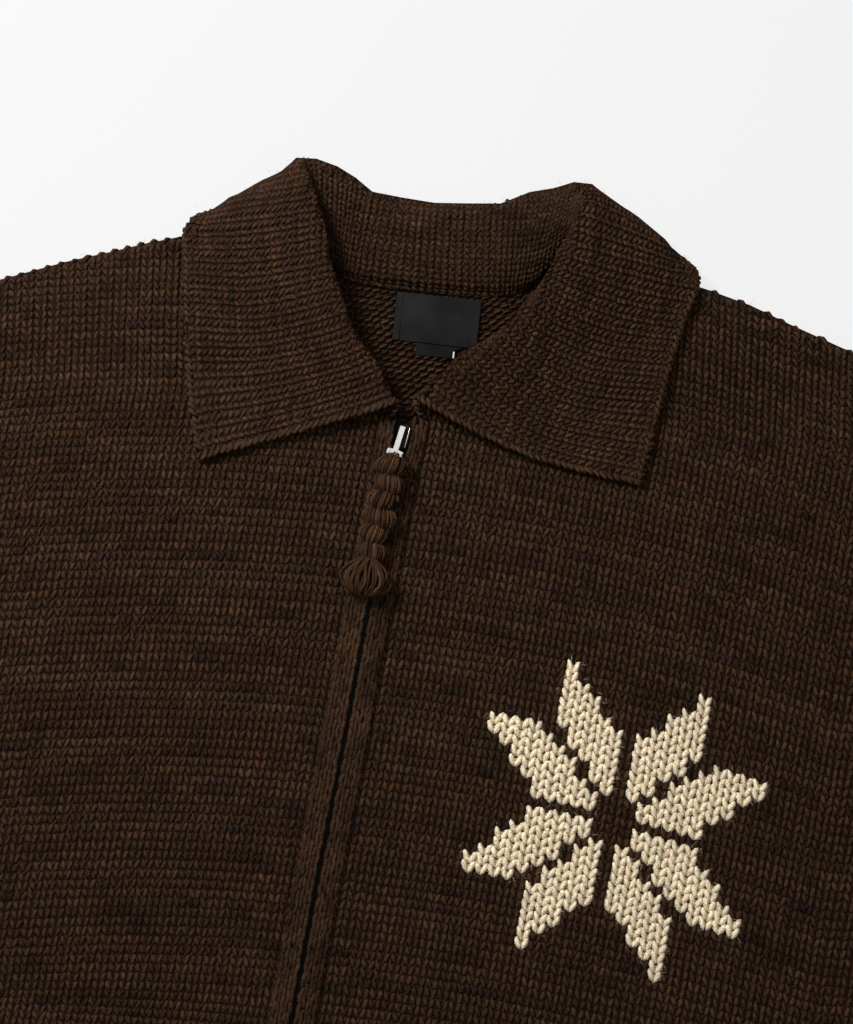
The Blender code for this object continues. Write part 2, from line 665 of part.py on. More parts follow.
def make_braid(wool):
    """The plaited pull: lobes that bulge to one side and then the other."""
    sides, per_lobe = 12, 5
    turn = math.radians(PULL_TURN)
    down = np.array([-math.sin(turn), -math.cos(turn)])
    aside = np.array([math.cos(turn), -math.sin(turn)])
    start = np.array([HINGE[0] - 3.6, HINGE[1] - 19.2])
    length = BRAID_LOBES * BRAID_PITCH
    rings = []
    stops = np.linspace(0, length, BRAID_LOBES * per_lobe + 1)
    for along in stops:
        lobe = along / BRAID_PITCH
        bulge = abs(math.sin(math.pi * lobe))
        end = float(step(along / 5 + 0.35) * step((length - along) / 6 + 0.45))
        half = (BRAID_HALF - 1.9 + 1.9 * bulge) * (1.08 - 0.12 * along / length) * end
        sway = 1.5 * math.sin(math.pi * lobe) * (-1) ** int(lobe)
        middle = start + down * along + aside * sway
        tall = half * 0.72
        floor = braid_floor(middle, along)
        ring = []
        for k in range(sides):
            angle = 2 * math.pi * (k + 0.5) / sides
            spot = middle + aside * half * math.cos(angle)
            ring.append((*spot, floor + tall + tall * math.sin(angle)))
        rings.append(ring)
    return capped("pull_braid", np.array(rings), wool)


def braid_floor(middle, along):
    """The lowest point of the pull: it lies on the fronts."""
    lies_on = CLOTH * 2 + 2 * SEAM + TAPE_THICK + SEAM + 0.3
    return lies_on + 3.2 * float(step((16 - along) / 16))


def capped(name, rings, finish):
    """A solid from a stack of rings, closed by a fan at each end."""
    count, around = rings.shape[:2]
    points = rings.reshape(-1, 3).tolist()
    faces = []
    for r in range(count - 1):
        for c in range(around):
            a, b = r * around + c, r * around + (c + 1) % around
            faces += [(a, b, b + around), (a, b + around, a + around)]
    for r, flip in ((0, True), (count - 1, False)):
        middle = len(points)
        points.append(rings[r].mean(axis=0).tolist())
        for c in range(around):
            a, b = r * around + c, r * around + (c + 1) % around
            faces.append((b, a, middle) if flip else (a, b, middle))
    return closed_mesh(name, points, faces, finish)


def make_ball(wool):
    """The round knot that ends the pull."""
    turn = math.radians(PULL_TURN)
    down = np.array([-math.sin(turn), -math.cos(turn)])
    aside = np.array([math.cos(turn), -math.sin(turn)])
    length = BRAID_LOBES * BRAID_PITCH
    start = np.array([HINGE[0] - 3.6, HINGE[1] - 19.2]) + down * (length + SEAM + 0.1)
    wide, deep, tall = BALL_HALF
    floor = braid_floor(None, length)
    rings = []
    for level in np.linspace(0.10, 0.97, 9):
        angle = math.pi * level
        size = math.sin(angle)
        along = deep * (math.cos(math.pi * 0.10) - math.cos(angle))
        rings.append([(*(start + down * along + aside * wide * size * math.cos(2 * math.pi * k / 14)),
                       floor + tall + tall * size * math.sin(2 * math.pi * k / 14))
                      for k in range(14)])
    return capped("pull_ball", np.array(rings), wool)


def make_label(name, centre, size, finish):
    turn = math.radians(LABEL_TURN)
    c, s = math.cos(turn), math.sin(turn)
    under, over = [], []
    for v in np.linspace(-0.5, 0.5, 7):
        low_row, high_row = [], []
        for u in np.linspace(-0.5, 0.5, 5):
            x = centre[0] + c * u * size[0] - s * v * size[1]
            y = centre[1] + s * u * size[0] + c * v * size[1]
            z = float(back_over(x, y)) + 2 * SEAM
            low_row.append((x, y, z))
            high_row.append((x, y, z + LABEL_THICK))
        under.append(low_row)
        over.append(high_row)
    return wall(name, np.array(under), np.array(over), finish)


def main():
    clear_scene()
    brown = material("brown_wool", (0.0405, 0.0232, 0.0142), 0.95)
    black = material("black_woven", (0.012, 0.012, 0.012), 0.8)
    silver = material("silver_metal", (0.75, 0.75, 0.74), 0.3, 1.0)
    tape = material("zip_tape", (0.01, 0.012, 0.012), 0.9)
    moulded = material("moulded_teeth", (0.015, 0.02, 0.02), 0.45)
    make_back(brown)
    make_front("front_right", -1, brown)
    make_front("front_left", 1, brown)
    make_hem_back(brown)
    make_hem("hem_rib_right", -1, brown)
    make_hem("hem_rib_left", 1, brown)
    for name, sign in (("right", -1), ("left", 1)):
        make_sleeve("sleeve_" + name, sign, brown)
        make_cuff("cuff_" + name, sign, brown)
        make_tape("zip_tape_" + name, sign, tape)
    make_collar(brown)
    make_teeth(moulded)
    make_slider(silver)
    make_pull_tab(silver)
    make_braid(brown)
    make_ball(brown)
    make_label("main_label", LABEL_CENTRE, LABEL_SIZE, black)
    make_label("size_tab", TAB_CENTRE, TAB_SIZE, black)


main()
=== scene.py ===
"""A chunky brown knitted zip jacket with a shirt collar, laid flat, seen from straight above."""

import math

import bpy
import numpy as np
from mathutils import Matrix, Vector
from mathutils.bvhtree import BVHTree


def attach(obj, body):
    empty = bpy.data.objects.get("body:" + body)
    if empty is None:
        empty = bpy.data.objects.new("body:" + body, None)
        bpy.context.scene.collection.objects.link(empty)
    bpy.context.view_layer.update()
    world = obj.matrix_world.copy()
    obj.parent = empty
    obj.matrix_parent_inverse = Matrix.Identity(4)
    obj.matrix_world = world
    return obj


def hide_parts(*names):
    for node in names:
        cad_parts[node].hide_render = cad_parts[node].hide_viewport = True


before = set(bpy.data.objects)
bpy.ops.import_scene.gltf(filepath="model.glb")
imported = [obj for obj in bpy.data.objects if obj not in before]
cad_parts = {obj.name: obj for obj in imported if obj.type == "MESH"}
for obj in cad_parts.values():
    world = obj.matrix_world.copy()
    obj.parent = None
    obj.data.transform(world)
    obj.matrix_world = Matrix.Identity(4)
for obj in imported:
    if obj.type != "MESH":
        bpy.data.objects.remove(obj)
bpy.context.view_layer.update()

# ---------------------------------------------------------------------------------------------
# The set: a pale seamless table, a soft light from past the right shoulder, a broad weak one above
# and the camera square over the jacket, which lies turned a little clockwise in the picture.
MM = 0.001
PICTURE_LONG = 665.6 * MM       # what the long side of the picture takes in at the jacket
LENS, SENSOR = 85.0, 36.0
VIEW_CENTRE = (18.3 * MM, 148.0 * MM)
VIEW_TURN = 4.75
CLOTH_TOP = 10 * MM
TABLE_HALF, TABLE_DROP = 6.0, 0.6 * MM

bpy.context.scene.view_settings.view_transform = "Standard"
lens = bpy.data.cameras.new("camera")
lens.lens, lens.sensor_width = LENS, SENSOR
camera = bpy.data.objects.new("camera", lens)
camera.location = (*VIEW_CENTRE, CLOTH_TOP + PICTURE_LONG * LENS / SENSOR)
camera.rotation_euler = (0, 0, math.radians(VIEW_TURN))
bpy.context.collection.objects.link(camera)
bpy.context.scene.camera = camera


def soft_light(name, place, size, power, aim):
    lamp = bpy.data.lights.new(name, "AREA")
    lamp.shape, lamp.size, lamp.energy = "DISK", size, power
    thing = bpy.data.objects.new(name, lamp)
    thing.location = place
    thing.rotation_euler = (Vector(aim) - Vector(place)).to_track_quat("-Z", "Y").to_euler()
    bpy.context.collection.objects.link(thing)


soft_light("key", place=(-0.66, 0.80, 0.95), size=0.36, power=17.6, aim=(-0.10, 0.10, 0))
soft_light("fill", place=(0.3, 0.5, 1.9), size=1.8, power=5.5, aim=(0, 0.1, 0))
world = bpy.data.worlds.new("studio")
world.use_nodes = True
world.node_tree.nodes["Background"].inputs["Color"].default_value = (1, 1, 1, 1)
world.node_tree.nodes["Background"].inputs["Strength"].default_value = 0.23
bpy.context.scene.world = world


class Wire:
    """A shader socket that takes part in expressions: each operator adds its Math node."""

    def __init__(self, finish, socket):
        self.finish, self.socket = finish, socket

    def join(self, kind, first, second):
        return self.finish.node("ShaderNodeMath", {"operation": kind}, {0: first, 1: second})

    def __add__(self, other):
        return self.join("ADD", self, other)

    def __radd__(self, other):
        return self.join("ADD", other, self)

    def __sub__(self, other):
        return self.join("SUBTRACT", self, other)

    def __rsub__(self, other):
        return self.join("SUBTRACT", other, self)

    def __mul__(self, other):
        return self.join("MULTIPLY", self, other)

    def __rmul__(self, other):
        return self.join("MULTIPLY", other, self)


class Finish:
    """A material in the making: its nodes, and the inputs of its shader."""

    def __init__(self, name):
        self.material = bpy.data.materials.new(name)
        self.material.use_nodes = True
        self.tree = self.material.node_tree
        self.place = self.node("ShaderNodeTexCoord", out="Object")

    def fill(self, socket, value):
        """Sets a socket, or links it where the value is a wire."""
        if isinstance(value, Wire):
            self.tree.links.new(value.socket, socket)
        else:
            socket.default_value = value

    def node(self, kind, settings=None, sockets=None, out=0):
        """One node: its settings, then the values or links of its sockets, and the output to read."""
        thing = self.tree.nodes.new(kind)
        for key, value in (settings or {}).items():
            if key == "stops":
                for stop, (place, colour) in zip(thing.color_ramp.elements, value):
                    stop.position, stop.color = place, (*colour, 1.0)
            else:
                setattr(thing, key, value)
        for key, value in (sockets or {}).items():
            self.fill(thing.inputs[key], value)
        return Wire(self, thing.outputs[out])

    def speckle(self, scale, detail=2.0, roughness=0.5):
        return self.node("ShaderNodeTexNoise", {}, {"Vector": self.place, "Scale": scale, "Detail": detail,
                                                    "Roughness": roughness}, "Fac")

    def tones(self, reading, *stops):
        """Colours along a reading, from two stops of a place and a colour."""
        return self.node("ShaderNodeValToRGB", {"stops": stops}, {"Fac": reading}, "Color")

    def relief(self, height, deep, strength):
        return self.node("ShaderNodeBump", {}, {"Strength": strength, "Distance": deep, "Height": height},
                         "Normal")

    def feed(self, **values):
        """Fills the shader's inputs, whose names are given with _ for a space."""
        for key, value in values.items():
            self.fill(self.tree.nodes["Principled BSDF"].inputs[key.replace("_", " ")], value)
        return self.material


table_mesh = bpy.data.meshes.new("table")
corners = [(i * TABLE_HALF, j * TABLE_HALF, 0) for i, j in ((-1, -1), (1, -1), (1, 1), (-1, 1))]
table_mesh.from_pydata(corners, [], [(0, 1, 2, 3)])
table = bpy.data.objects.new("table", table_mesh)
table.location.z = -TABLE_DROP
bpy.context.collection.objects.link(table)
table_mesh.materials.append(Finish("pale_paper").feed(
    Base_Color=(0.10, 0.10, 0.10, 1), Roughness=1.0, Specular_IOR_Level=0.0, Emission_Color=(1, 1, 1, 1),
    Emission_Strength=0.79))

# ---------------------------------------------------------------------------------------------
# The wool: a thick, softly spun yarn, dark brown with streaks of orange, violet and olive that
# last a few stitches. Each stitch's own tint is kept on its points, and the plies are shaded in.
YARN = np.array((0.0470, 0.0250, 0.0144))
STREAKS = np.array(((0.30, 0.17, 0.05), (-0.06, -0.10, 0.08), (-0.32, -0.25, -0.13),
                    (-0.08, 0.02, -0.08)))

wool = Finish("brown_wool")
tint = wool.node("ShaderNodeAttribute", {"attribute_name": "yarn"}, out="Color")
fibre = wool.speckle(900.0, 3.0, 0.65)
shade = fibre * 2.3 + wool.speckle(260.0) * 0.9 - 0.60
ply = wool.node("ShaderNodeTexWave", {"bands_direction": "DIAGONAL"},
                {"Vector": wool.place, "Scale": 240.0, "Distortion": 3.0, "Detail": 1.0}, "Fac")
brown_wool = wool.feed(
    Base_Color=wool.node("ShaderNodeVectorMath", {"operation": "SCALE"}, {0: tint, "Scale": shade}),
    Roughness=0.92, Specular_IOR_Level=0.04, Normal=wool.relief(ply * 0.5 + fibre * 0.8, 0.0007, 0.7))


def fitted(name, mesh, finish, body, stands_for=None):
    """Makes a mesh a piece of the garment, in its finish, in place of a solid where one is named."""
    mesh.name = name
    mesh.materials.clear()
    mesh.materials.append(finish)
    piece = bpy.data.objects.new(name, mesh)
    bpy.context.collection.objects.link(piece)
    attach(piece, body)
    if stands_for:
        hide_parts(stands_for)
    return piece


def piece_of(name, parts, faces, finish, tints=None, body="jacket", stands_for=None):
    """One piece from many like parts: their points (parts x points x 3, in mm), one part's faces of
    four corners, and a tint for each part, which is kept as the colour 'yarn'."""
    count, each = parts.shape[:2]
    corners = (faces[None] + (np.arange(count) * each)[:, None, None]).ravel()
    mesh = bpy.data.meshes.new(name)
    mesh.vertices.add(count * each)
    mesh.vertices.foreach_set("co", (parts * MM).astype(np.float32).ravel())
    mesh.loops.add(len(corners))
    mesh.loops.foreach_set("vertex_index", corners.astype(np.int32))
    mesh.polygons.add(len(corners) // 4)
    mesh.polygons.foreach_set("loop_start", np.arange(0, len(corners), 4, dtype=np.int32))
    mesh.update(calc_edges=True)
    mesh.shade_smooth()
    if tints is not None:
        colours = np.column_stack([tints, np.ones(count)]).repeat(each, axis=0)
        layer = mesh.color_attributes.new("yarn", "FLOAT_COLOR", "POINT")
        layer.data.foreach_set("color", colours.astype(np.float32).ravel())
    return fitted(name, mesh, finish, body, stands_for)


def step(value):
    """A smooth step from 0 to 1."""
    value = np.clip(value, 0.0, 1.0)
    return value * value * (3 - 2 * value)


def unit(rows):
    return rows / np.maximum(np.linalg.norm(rows, axis=-1, keepdims=True), 1e-9)


def tube_faces(rings, sides):
    """The faces between the rings of a strand."""
    own = np.arange(rings * sides).reshape(rings, sides)
    ahead = np.roll(own, -1, axis=1)
    return np.stack([own[:-1], ahead[:-1], ahead[1:], own[1:]], axis=-1).reshape(-1, 4)


def strand(*rings):
    """One strand of a loop, closed at its ends: its points, four to a ring, and its faces. A ring is
    x, y, z, half width and half height."""
    rings = np.array(rings, float)
    heading = unit(np.gradient(rings[:, :2], axis=0))
    aside = np.column_stack([heading[:, 1], -heading[:, 0]])
    angles = np.pi / 2 * np.arange(4)
    points = np.repeat(rings[:, None, :3], 4, axis=1)
    points[..., :2] += aside[:, None] * rings[:, None, 3:4] * np.cos(angles)[:, None]
    points[..., 2] += rings[:, 4:5] * np.sin(angles)
    last = 4 * (len(rings) - 1)
    ends = [(3, 2, 1, 0), (last, last + 1, last + 2, last + 3)]
    return points.reshape(-1, 3), np.concatenate([tube_faces(len(rings), 4), ends])


# One knit stitch: x across the wale and y down the course in mm, z up from the cloth. The left leg
# is a short plump slanting dash, the right one a long strand that nearly meets the next.
WALE, COURSE = 8.6, 5.7


def loop_of(*strands, wale=WALE, course=COURSE):
    """A loop's strands as one shape, its x and y in shares of a wale and a course."""
    points = np.concatenate([points for points, _ in strands]) / (wale, course, 1.0)
    starts = np.cumsum([0] + [len(points) for points, _ in strands[:-1]])
    return points, np.concatenate([faces + start for (_, faces), start in zip(strands, starts)])


STITCH = loop_of(
    strand((-3.5, -3.0, -2.3, 0.8, 0.8), (-2.9, -1.5, -0.85, 1.55, 1.35), (-1.6, 1.0, -0.85, 1.6, 1.35),
           (-0.5, 2.9, -2.3, 0.8, 0.8)),
    strand((2.8, -3.3, -2.1, 0.8, 0.8), (2.5, -1.7, -0.8, 1.45, 1.35), (1.9, 1.4, -0.8, 1.5, 1.35),
           (1.3, 3.1, -2.1, 0.8, 0.8)))
rng = np.random.default_rng(7)


def melange(row, column):
    """Tints for stitches by course and place along it: short streaks that run along the courses."""
    tint = np.ones((len(row), 3))
    rows = row.astype(int)
    for k, streak in enumerate(STREAKS):
        phase = np.sin(rows * (12.9898 + 3.1 * k)) * 43758.5453
        phase = phase - np.floor(phase)
        run = np.sin(column * (0.47 + 0.07 * k) + phase * 40) \
            + np.sin(column * (0.93 - 0.05 * k) + phase * 93)
        tint += streak * np.clip((run - 0.9) * 1.4, 0, 1)[:, None]
        tint += (0.075 * np.sin(column * (0.13 + 0.09 * k) + phase * 61))[:, None]
    tint *= (1 + 0.14 * rng.standard_normal(len(row)))[:, None]
    return YARN * np.clip(tint, 0.35, 2.2)


def knit(name, place, across, down, up, wide, tall, tints, loop=STITCH, loose=0.2):
    """Loops worked as one piece. Places and sizes are in mm, across, down and up are unit rows."""
    shape, faces = loop
    count, many = len(place), len(shape)
    wander = rng.normal(0, loose, (count, many // 4, 3)).repeat(4, axis=1)
    size = 1 + rng.normal(0, 0.05, (count, 1))
    turn = rng.normal(0, 0.05, (count, 1))
    x = shape[:, 0] * wide[:, None] * size + wander[..., 0]
    y = shape[:, 1] * tall[:, None] + wander[..., 1] + turn * x
    z = shape[:, 2] + 0.6 * wander[..., 2]
    points = place[:, None] + across[:, None] * x[..., None] + down[:, None] * y[..., None] \
        + up[:, None] * z[..., None]
    return piece_of(name, points, faces, brown_wool, tints)


class Ground:
    """The upper side of one or more solids, read in mm."""

    def __init__(self, *names):
        points, faces = [], []
        for name in names:
            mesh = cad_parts[name].data
            mesh.calc_loop_triangles()
            start = len(points)
            points += [v.co / MM for v in mesh.vertices]
            faces += [[start + i for i in t.vertices] for t in mesh.loop_triangles]
        self.tree = BVHTree.FromPolygons(points, faces)

    def snap(self, points, facing, reach=5.0):
        """Points moved along their facing onto the surface's outer side, where it is near."""
        out = points.copy()
        for k, (point, way) in enumerate(zip(points, facing)):
            hit = self.tree.ray_cast(Vector(point + way * reach), Vector(-way), 2 * reach)[0]
            if hit is not None:
                out[k] = hit
        return out

    def height(self, x, y):
        out = np.full(len(x), np.nan)
        for k, (px, py) in enumerate(zip(x, y)):
            hit = self.tree.ray_cast(Vector((px, py, 200.0)), Vector((0, 0, -1.0)))
            if hit[0] is not None:
                out[k] = hit[0].z
        return out

    def lay(self, x, y, reach=3.0, inward=None):
        """Points on the surface and its upward normals, and which are on it. A point just off the
        edge is drawn back along inward, so that the last loops wrap the cloth's rounded edge."""
        z = self.height(x, y)
        if inward is not None:
            x, y = x.copy(), y.copy()
            for back in (1.5, 3.0, 4.5):
                off = np.isnan(z)
                tried = self.height(x[off] + inward[off, 0] * back, y[off] + inward[off, 1] * back)
                hit = np.where(off)[0][~np.isnan(tried)]
                x[hit] += inward[hit, 0] * back
                y[hit] += inward[hit, 1] * back
                z[hit] = tried[~np.isnan(tried)]
        slopes = []
        for dx, dy in ((reach, 0), (0, reach)):
            before, after = self.height(x - dx, y - dy), self.height(x + dx, y + dy)
            before, after = (np.where(np.isnan(found), z - 2.2 * reach, found) for found in (before, after))
            slopes.append((before - after) / (2 * reach))
        return np.column_stack([x, y, z]), unit(np.column_stack([*slopes, np.ones(len(x))])), ~np.isnan(z)


# The wool seen between the stitches: the yarn's brown, darkened in the gutters between wales and courses as
# painted shade of these crevices, and bumped in the same pattern.
between = Finish("wool_between_stitches")
x, y, z = (between.node("ShaderNodeSeparateXYZ", {}, {0: between.place}, axis) for axis in "XYZ")
turns = (x + z * 0.6) * (1 / (WALE * MM))
side_of_wale = between.node("ShaderNodeMath", {"operation": "PINGPONG"}, {0: turns, 1: 0.5})
climb = (y + z) * (1 / (COURSE * MM)) + side_of_wale * 1.7
legs, gutter = (between.node("ShaderNodeMath", {"operation": "SINE"}, {0: reading * (2 * math.pi)})
                for reading in (climb, side_of_wale))
hollows = (legs * 0.35 + 0.5) * gutter + between.speckle(500.0, 3.0) * 0.25
ground_wool = between.feed(
    Base_Color=between.tones(hollows, (0.25, (0.022, 0.0110, 0.0058)), (0.95, (0.052, 0.0265, 0.0145))),
    Roughness=0.95, Specular_IOR_Level=0.03, Normal=between.relief(hollows, 0.0022, 1.0))


def ground_shell(name, node_name, lower=1.5):
    """The closed cloth below the stitches: the solid's own form, its upper side let down a little."""
    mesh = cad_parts[node_name].data.copy()
    tree = BVHTree.FromPolygons([v.co for v in mesh.vertices], [p.vertices[:] for p in mesh.polygons])
    for vertex in mesh.vertices:
        if vertex.normal.z > 0.15:
            hit = tree.ray_cast(vertex.co - Vector((0, 0, 0.05 * MM)), Vector((0, 0, -1)))
            room = hit[3] if hit[0] is not None else 1.0 * MM
            vertex.co.z -= min(lower * MM, 0.4 * room)
    mesh.shade_smooth()
    return fitted(name, mesh, ground_wool, "jacket", node_name)

# ---------------------------------------------------------------------------------------------
# The fronts: plain stockinette in one thick yarn, knitted from the hem up. The wales run beside
# the zip; the courses droop towards the wearer's left. A cream star is worked into that front.
CENTRE = np.array([(0, 214), (-14, 83), (-23.5, -15), (-33, -102), (-41, -184), (-52, -278), (-59, -340)],
                  float)
BAND = 12.5                     # width of the edge band beside the zip
SHOULDER_COURSES, BODY_COURSES = 22, 108
BODY_TOP = 290                  # where the shoulder's courses end at the zip
FRONT_WALES = 46
HEM_SLOPE = 0.06                # the hem falls this much towards the wearer's left
CREAM = np.array((0.92, 0.78, 0.56))
STAR_CENTRE = (154.0, -42.0)
STAR_REACH = 90.0
STAR_COURSE = 5.9               # height of a course where the star is


def zip_x(y):
    return np.interp(y, CENTRE[::-1, 1], CENTRE[::-1, 0]) - 0.045 * np.maximum(y - 214, 0)


def course_droop(x):
    return -0.0004 * (np.clip(x, -300, 300) + 50) ** 2


def front_lattice(sign):
    """Loops on a front by course and wale: their numbers, places in mm, ways across and down, and
    sizes."""
    row = np.arange(-SHOULDER_COURSES, BODY_COURSES)
    tall = 4.9 + 1.25 * step((row + 12) / 60.0)
    above = np.concatenate([[0], np.cumsum(tall)])
    top = BODY_TOP + above[SHOULDER_COURSES] - above[:-1]
    rows, cols = np.meshgrid(row, np.arange(FRONT_WALES), indexing="ij")
    y = np.repeat(top[:, None], FRONT_WALES, axis=1)
    pitch = WALE * (1 + 0.05 * (sign > 0) * step(cols / 30.0))
    x = sign * (BAND + WALE * 0.5 + np.cumsum(pitch, axis=1) - pitch[:, :1])
    near_hem = step((-150 - y) / 100)
    y = y + course_droop(zip_x(y) + x) * (1 - near_hem) + (-HEM_SLOPE * x - 4) * near_hem
    place = np.dstack([zip_x(y) + x, y])
    across = unit(np.gradient(place, axis=1)) * sign
    down = unit(np.gradient(place, axis=0))
    tall = np.repeat(tall[:, None], FRONT_WALES, axis=1)
    return rows.ravel(), (cols * sign).ravel(), *(ways.reshape(-1, 2) for ways in (place, across, down)), \
        pitch.ravel(), tall.ravel()


def flat_up(rows, up):
    """Plan directions laid into the surface with the given normals."""
    rows = np.column_stack([rows, np.zeros(len(rows))])
    return unit(rows - up * (rows * up).sum(axis=1, keepdims=True))


def star(row, col, spot):
    """An eight-petalled star counted out on the stitches, each petal a slanted lozenge and parted
    from the next by a single brown wale or course."""
    middle = np.argmin(np.linalg.norm(spot - STAR_CENTRE, axis=1))
    dx = np.abs(col - col[middle]) * WALE / STAR_REACH
    dy = np.abs(row - row[middle]) * STAR_COURSE / STAR_REACH
    far, near = np.maximum(dx, dy), np.minimum(dx, dy)
    return (near > 0.04) & (near < 0.53) & (far > near + 0.05) & (far < near + 0.51)


# The star's cream loops are plumper, and a float of the same yarn fills in behind each, its cream darkened
# as painted shade.
PLUMP = loop_of(*(strand(*((way * x, y, z, wide, tall) for x, y, z, wide, tall in (
    (-3.7, -3.9, -1.7, 0.8, 0.7), (-3.0, -2.1, -0.5, 1.7, 1.35), (-1.5, 1.4, -0.5, 1.7, 1.35),
    (-0.5, 3.7, -1.8, 0.7, 0.7)))) for way in (1, -1)))
FLOAT = loop_of(strand((-4.1, 0, -1.9, 2.8, 0.7), (4.1, 0.01, -1.9, 2.8, 0.7)))
under_collar = Ground("collar")
fronts = {}
for side, sign in (("right", -1), ("left", 1)):
    shell = ground_shell("front_" + side + "_cloth", "front_" + side)
    row, col, spot, across, down, wide, tall = front_lattice(sign)
    inward = np.where((spot[:, 1] > 200)[:, None], down, -across * sign)
    place, up, kept = Ground("front_" + side).lay(spot[:, 0], spot[:, 1], 3.0, inward)
    kept &= np.isnan(under_collar.height(spot[:, 0], spot[:, 1])) | \
        np.isnan(under_collar.height(spot[:, 0] + sign * 9, spot[:, 1] - 9))
    cream = star(row, col, spot) & (sign > 0)
    tints = melange(row, col)
    tints[cream] = CREAM * (1 + 0.05 * rng.standard_normal((cream.sum(), 1)))
    parts = []
    for label, chosen in (("upper", ~cream & (row < 45)), ("lower", ~cream & (row >= 45)), ("star", cream)):
        on = kept & chosen
        ways = [flat_up(rows, up[on]) for rows in (across[on], down[on])]
        laid = (place[on], *ways, up[on], wide[on], tall[on])
        if label != "star":
            parts.append(knit(f"front_{side}_{label}", *laid, tints[on]))
        elif sign > 0:
            parts.append(knit("front_left_star", *laid, tints[on], PLUMP))
            # The floats' cream is darkened to under half: painted shade behind the loops.
            parts.append(knit("front_left_star_floats", *laid, tints[on] * (0.50, 0.42, 0.32), FLOAT, 0.05))
    fronts[side] = (shell, parts)

# ---------------------------------------------------------------------------------------------
# The zip edges: along each front runs a band of long loose loops, caught down beside the teeth.
# The band on the wearer's left is painted darker as shade, the light coming from past the right shoulder.
BAND_COLUMNS = np.array((0.0, 2.6, 5.3, 7.9, 10.4))
BAND_LOOP = np.array((-0.5, -0.36, -0.14, 0.14, 0.36, 0.5)) * 8.2
BAND_PLUMPNESS = np.array((0.9, 1.4, 1.75, 1.75, 1.4, 0.9))


def strands(name, lines, radii, tints, sides=5, body="jacket", finish=brown_wool, slot="wool"):
    """Strands along lines in mm (strands x points x 3), with a radius at each point."""
    count, rings = lines.shape[:2]
    heading = unit(np.gradient(lines, axis=1))
    aside = unit(np.cross(heading, (0.0, 0.0, 1.0)))
    up = np.cross(aside, heading)
    angles = 2 * np.pi * (np.arange(sides) + 0.5) / sides
    ring = aside[:, :, None] * np.cos(angles)[:, None] + up[:, :, None] * np.sin(angles)[:, None]
    points = lines[:, :, None] + ring * np.asarray(radii)[..., None, None]
    return piece_of(name, points.reshape(count, -1, 3), tube_faces(rings, sides), finish, tints, body)


for side, sign in (("right", -1), ("left", 1)):
    ground = Ground("front_" + side, "hem_rib_" + side)
    y, away = np.meshgrid(np.arange(-334, 205, 5.0), BAND_COLUMNS, indexing="ij")
    y = (y + rng.normal(0, 0.9, y.shape) + 2.5 * (np.arange(len(BAND_COLUMNS)) % 2)).ravel()
    away = away.ravel()
    gap = 2.8 + 1.2 * step((y - 176) / 10)
    lean = rng.normal(0.13, 0.08, len(y)) * np.where(np.arange(len(y)) % 2, 1, -0.8)
    bow = rng.normal(0.1, 0.2, len(y))
    lines = np.zeros((len(y), len(BAND_LOOP), 3))
    for k, go in enumerate(BAND_LOOP):
        off_zip = np.maximum(gap - 0.5, gap + away + lean * go + bow * (1 - (go / 4.2) ** 2))
        on_cloth = zip_x(y + go) + sign * np.maximum(off_zip, 4.0)
        sunk = 1.3 * (abs(go) > 3.8) - 0.35
        lines[:, k] = np.column_stack([zip_x(y + go) + sign * off_zip, y + go,
                                       ground.height(on_cloth, y + go) - sunk])
    kept = ~np.isnan(lines[..., 2]).any(axis=1) & np.isnan(under_collar.height(lines[:, 2, 0], y))
    warm = np.clip(np.sin(y / 17.0 + sign) + np.sin(y / 7.3), -0.2, 2)[:, None] * (1.2, 0.7, 0.3)
    # The band on the wearer's left is set darker, 0.88 against 1.0: painted shade on the side away from the
    # light.
    base = ((1.0 if sign < 0 else 0.88) - 0.022 * away)[:, None]
    tints = YARN * (base + 0.14 * warm + 0.16 * rng.standard_normal((len(y), 1)))
    radius = BAND_PLUMPNESS * rng.uniform(0.85, 1.05, (kept.sum(), 1))
    shell, parts = fronts[side]
    band = strands("zip_band_" + side, lines[kept], radius, tints[kept])
    0.205 if side == "left" else 0.167

# ---------------------------------------------------------------------------------------------
# The hem ribs: wide flat ribs knitted in the same yarn, three wales on a crest and one down in
# the furrow, drawn in a little by the tighter courses. The cuffs are worked in the same way.
RIB_WALE, RIB_COURSE = 33.0 / 4, 5.6
HEM_DEPTH = 60.0
HEM_ENDS = {"right": -331.0, "left": 333.0}


def rib_band(name, node_name, start, end, down_way, depth, first_tint):
    """Stitches over a ribbed band from its upper edge's start and end, in mm."""
    start, end, down_way = (np.array(p, float) for p in (start, end, down_way))
    length = np.linalg.norm(end - start)
    wales, courses = int(round(length / RIB_WALE)), int(round(depth / RIB_COURSE))
    v, u = np.meshgrid((np.arange(courses) + 0.5) / courses, (np.arange(wales) + 0.5) / wales, indexing="ij")
    spot = (start + u[..., None] * (end - start) + v[..., None] * depth * down_way).reshape(-1, 2)
    place, up, kept = Ground(node_name).lay(spot[:, 0], spot[:, 1], 2.0)
    tints = melange(np.repeat(np.arange(courses) + first_tint, wales), np.tile(np.arange(wales), courses))
    count = kept.sum()
    across, down = (flat_up(np.tile(way, (count, 1)), up[kept])
                    for way in ((end - start) / length, down_way))
    return knit(name, place[kept], across, down, up[kept], np.full(count, length / wales),
                np.full(count, depth / courses), tints[kept])


def hem_top(x):
    return -276.32 - HEM_SLOPE * x


for side, sign in (("right", -1), ("left", 1)):
    shell = ground_shell("hem_" + side + "_cloth", "hem_rib_" + side)
    ends = sorted([zip_x(hem_top(-52)) + sign * 14, HEM_ENDS[side]])
    stitches = rib_band("hem_" + side + "_ribs", "hem_rib_" + side, (ends[0], hem_top(ends[0])),
                        (ends[1], hem_top(ends[1])), (-HEM_SLOPE, -1), HEM_DEPTH, 300)
shell = ground_shell("hem_back_cloth", "hem_rib_back")

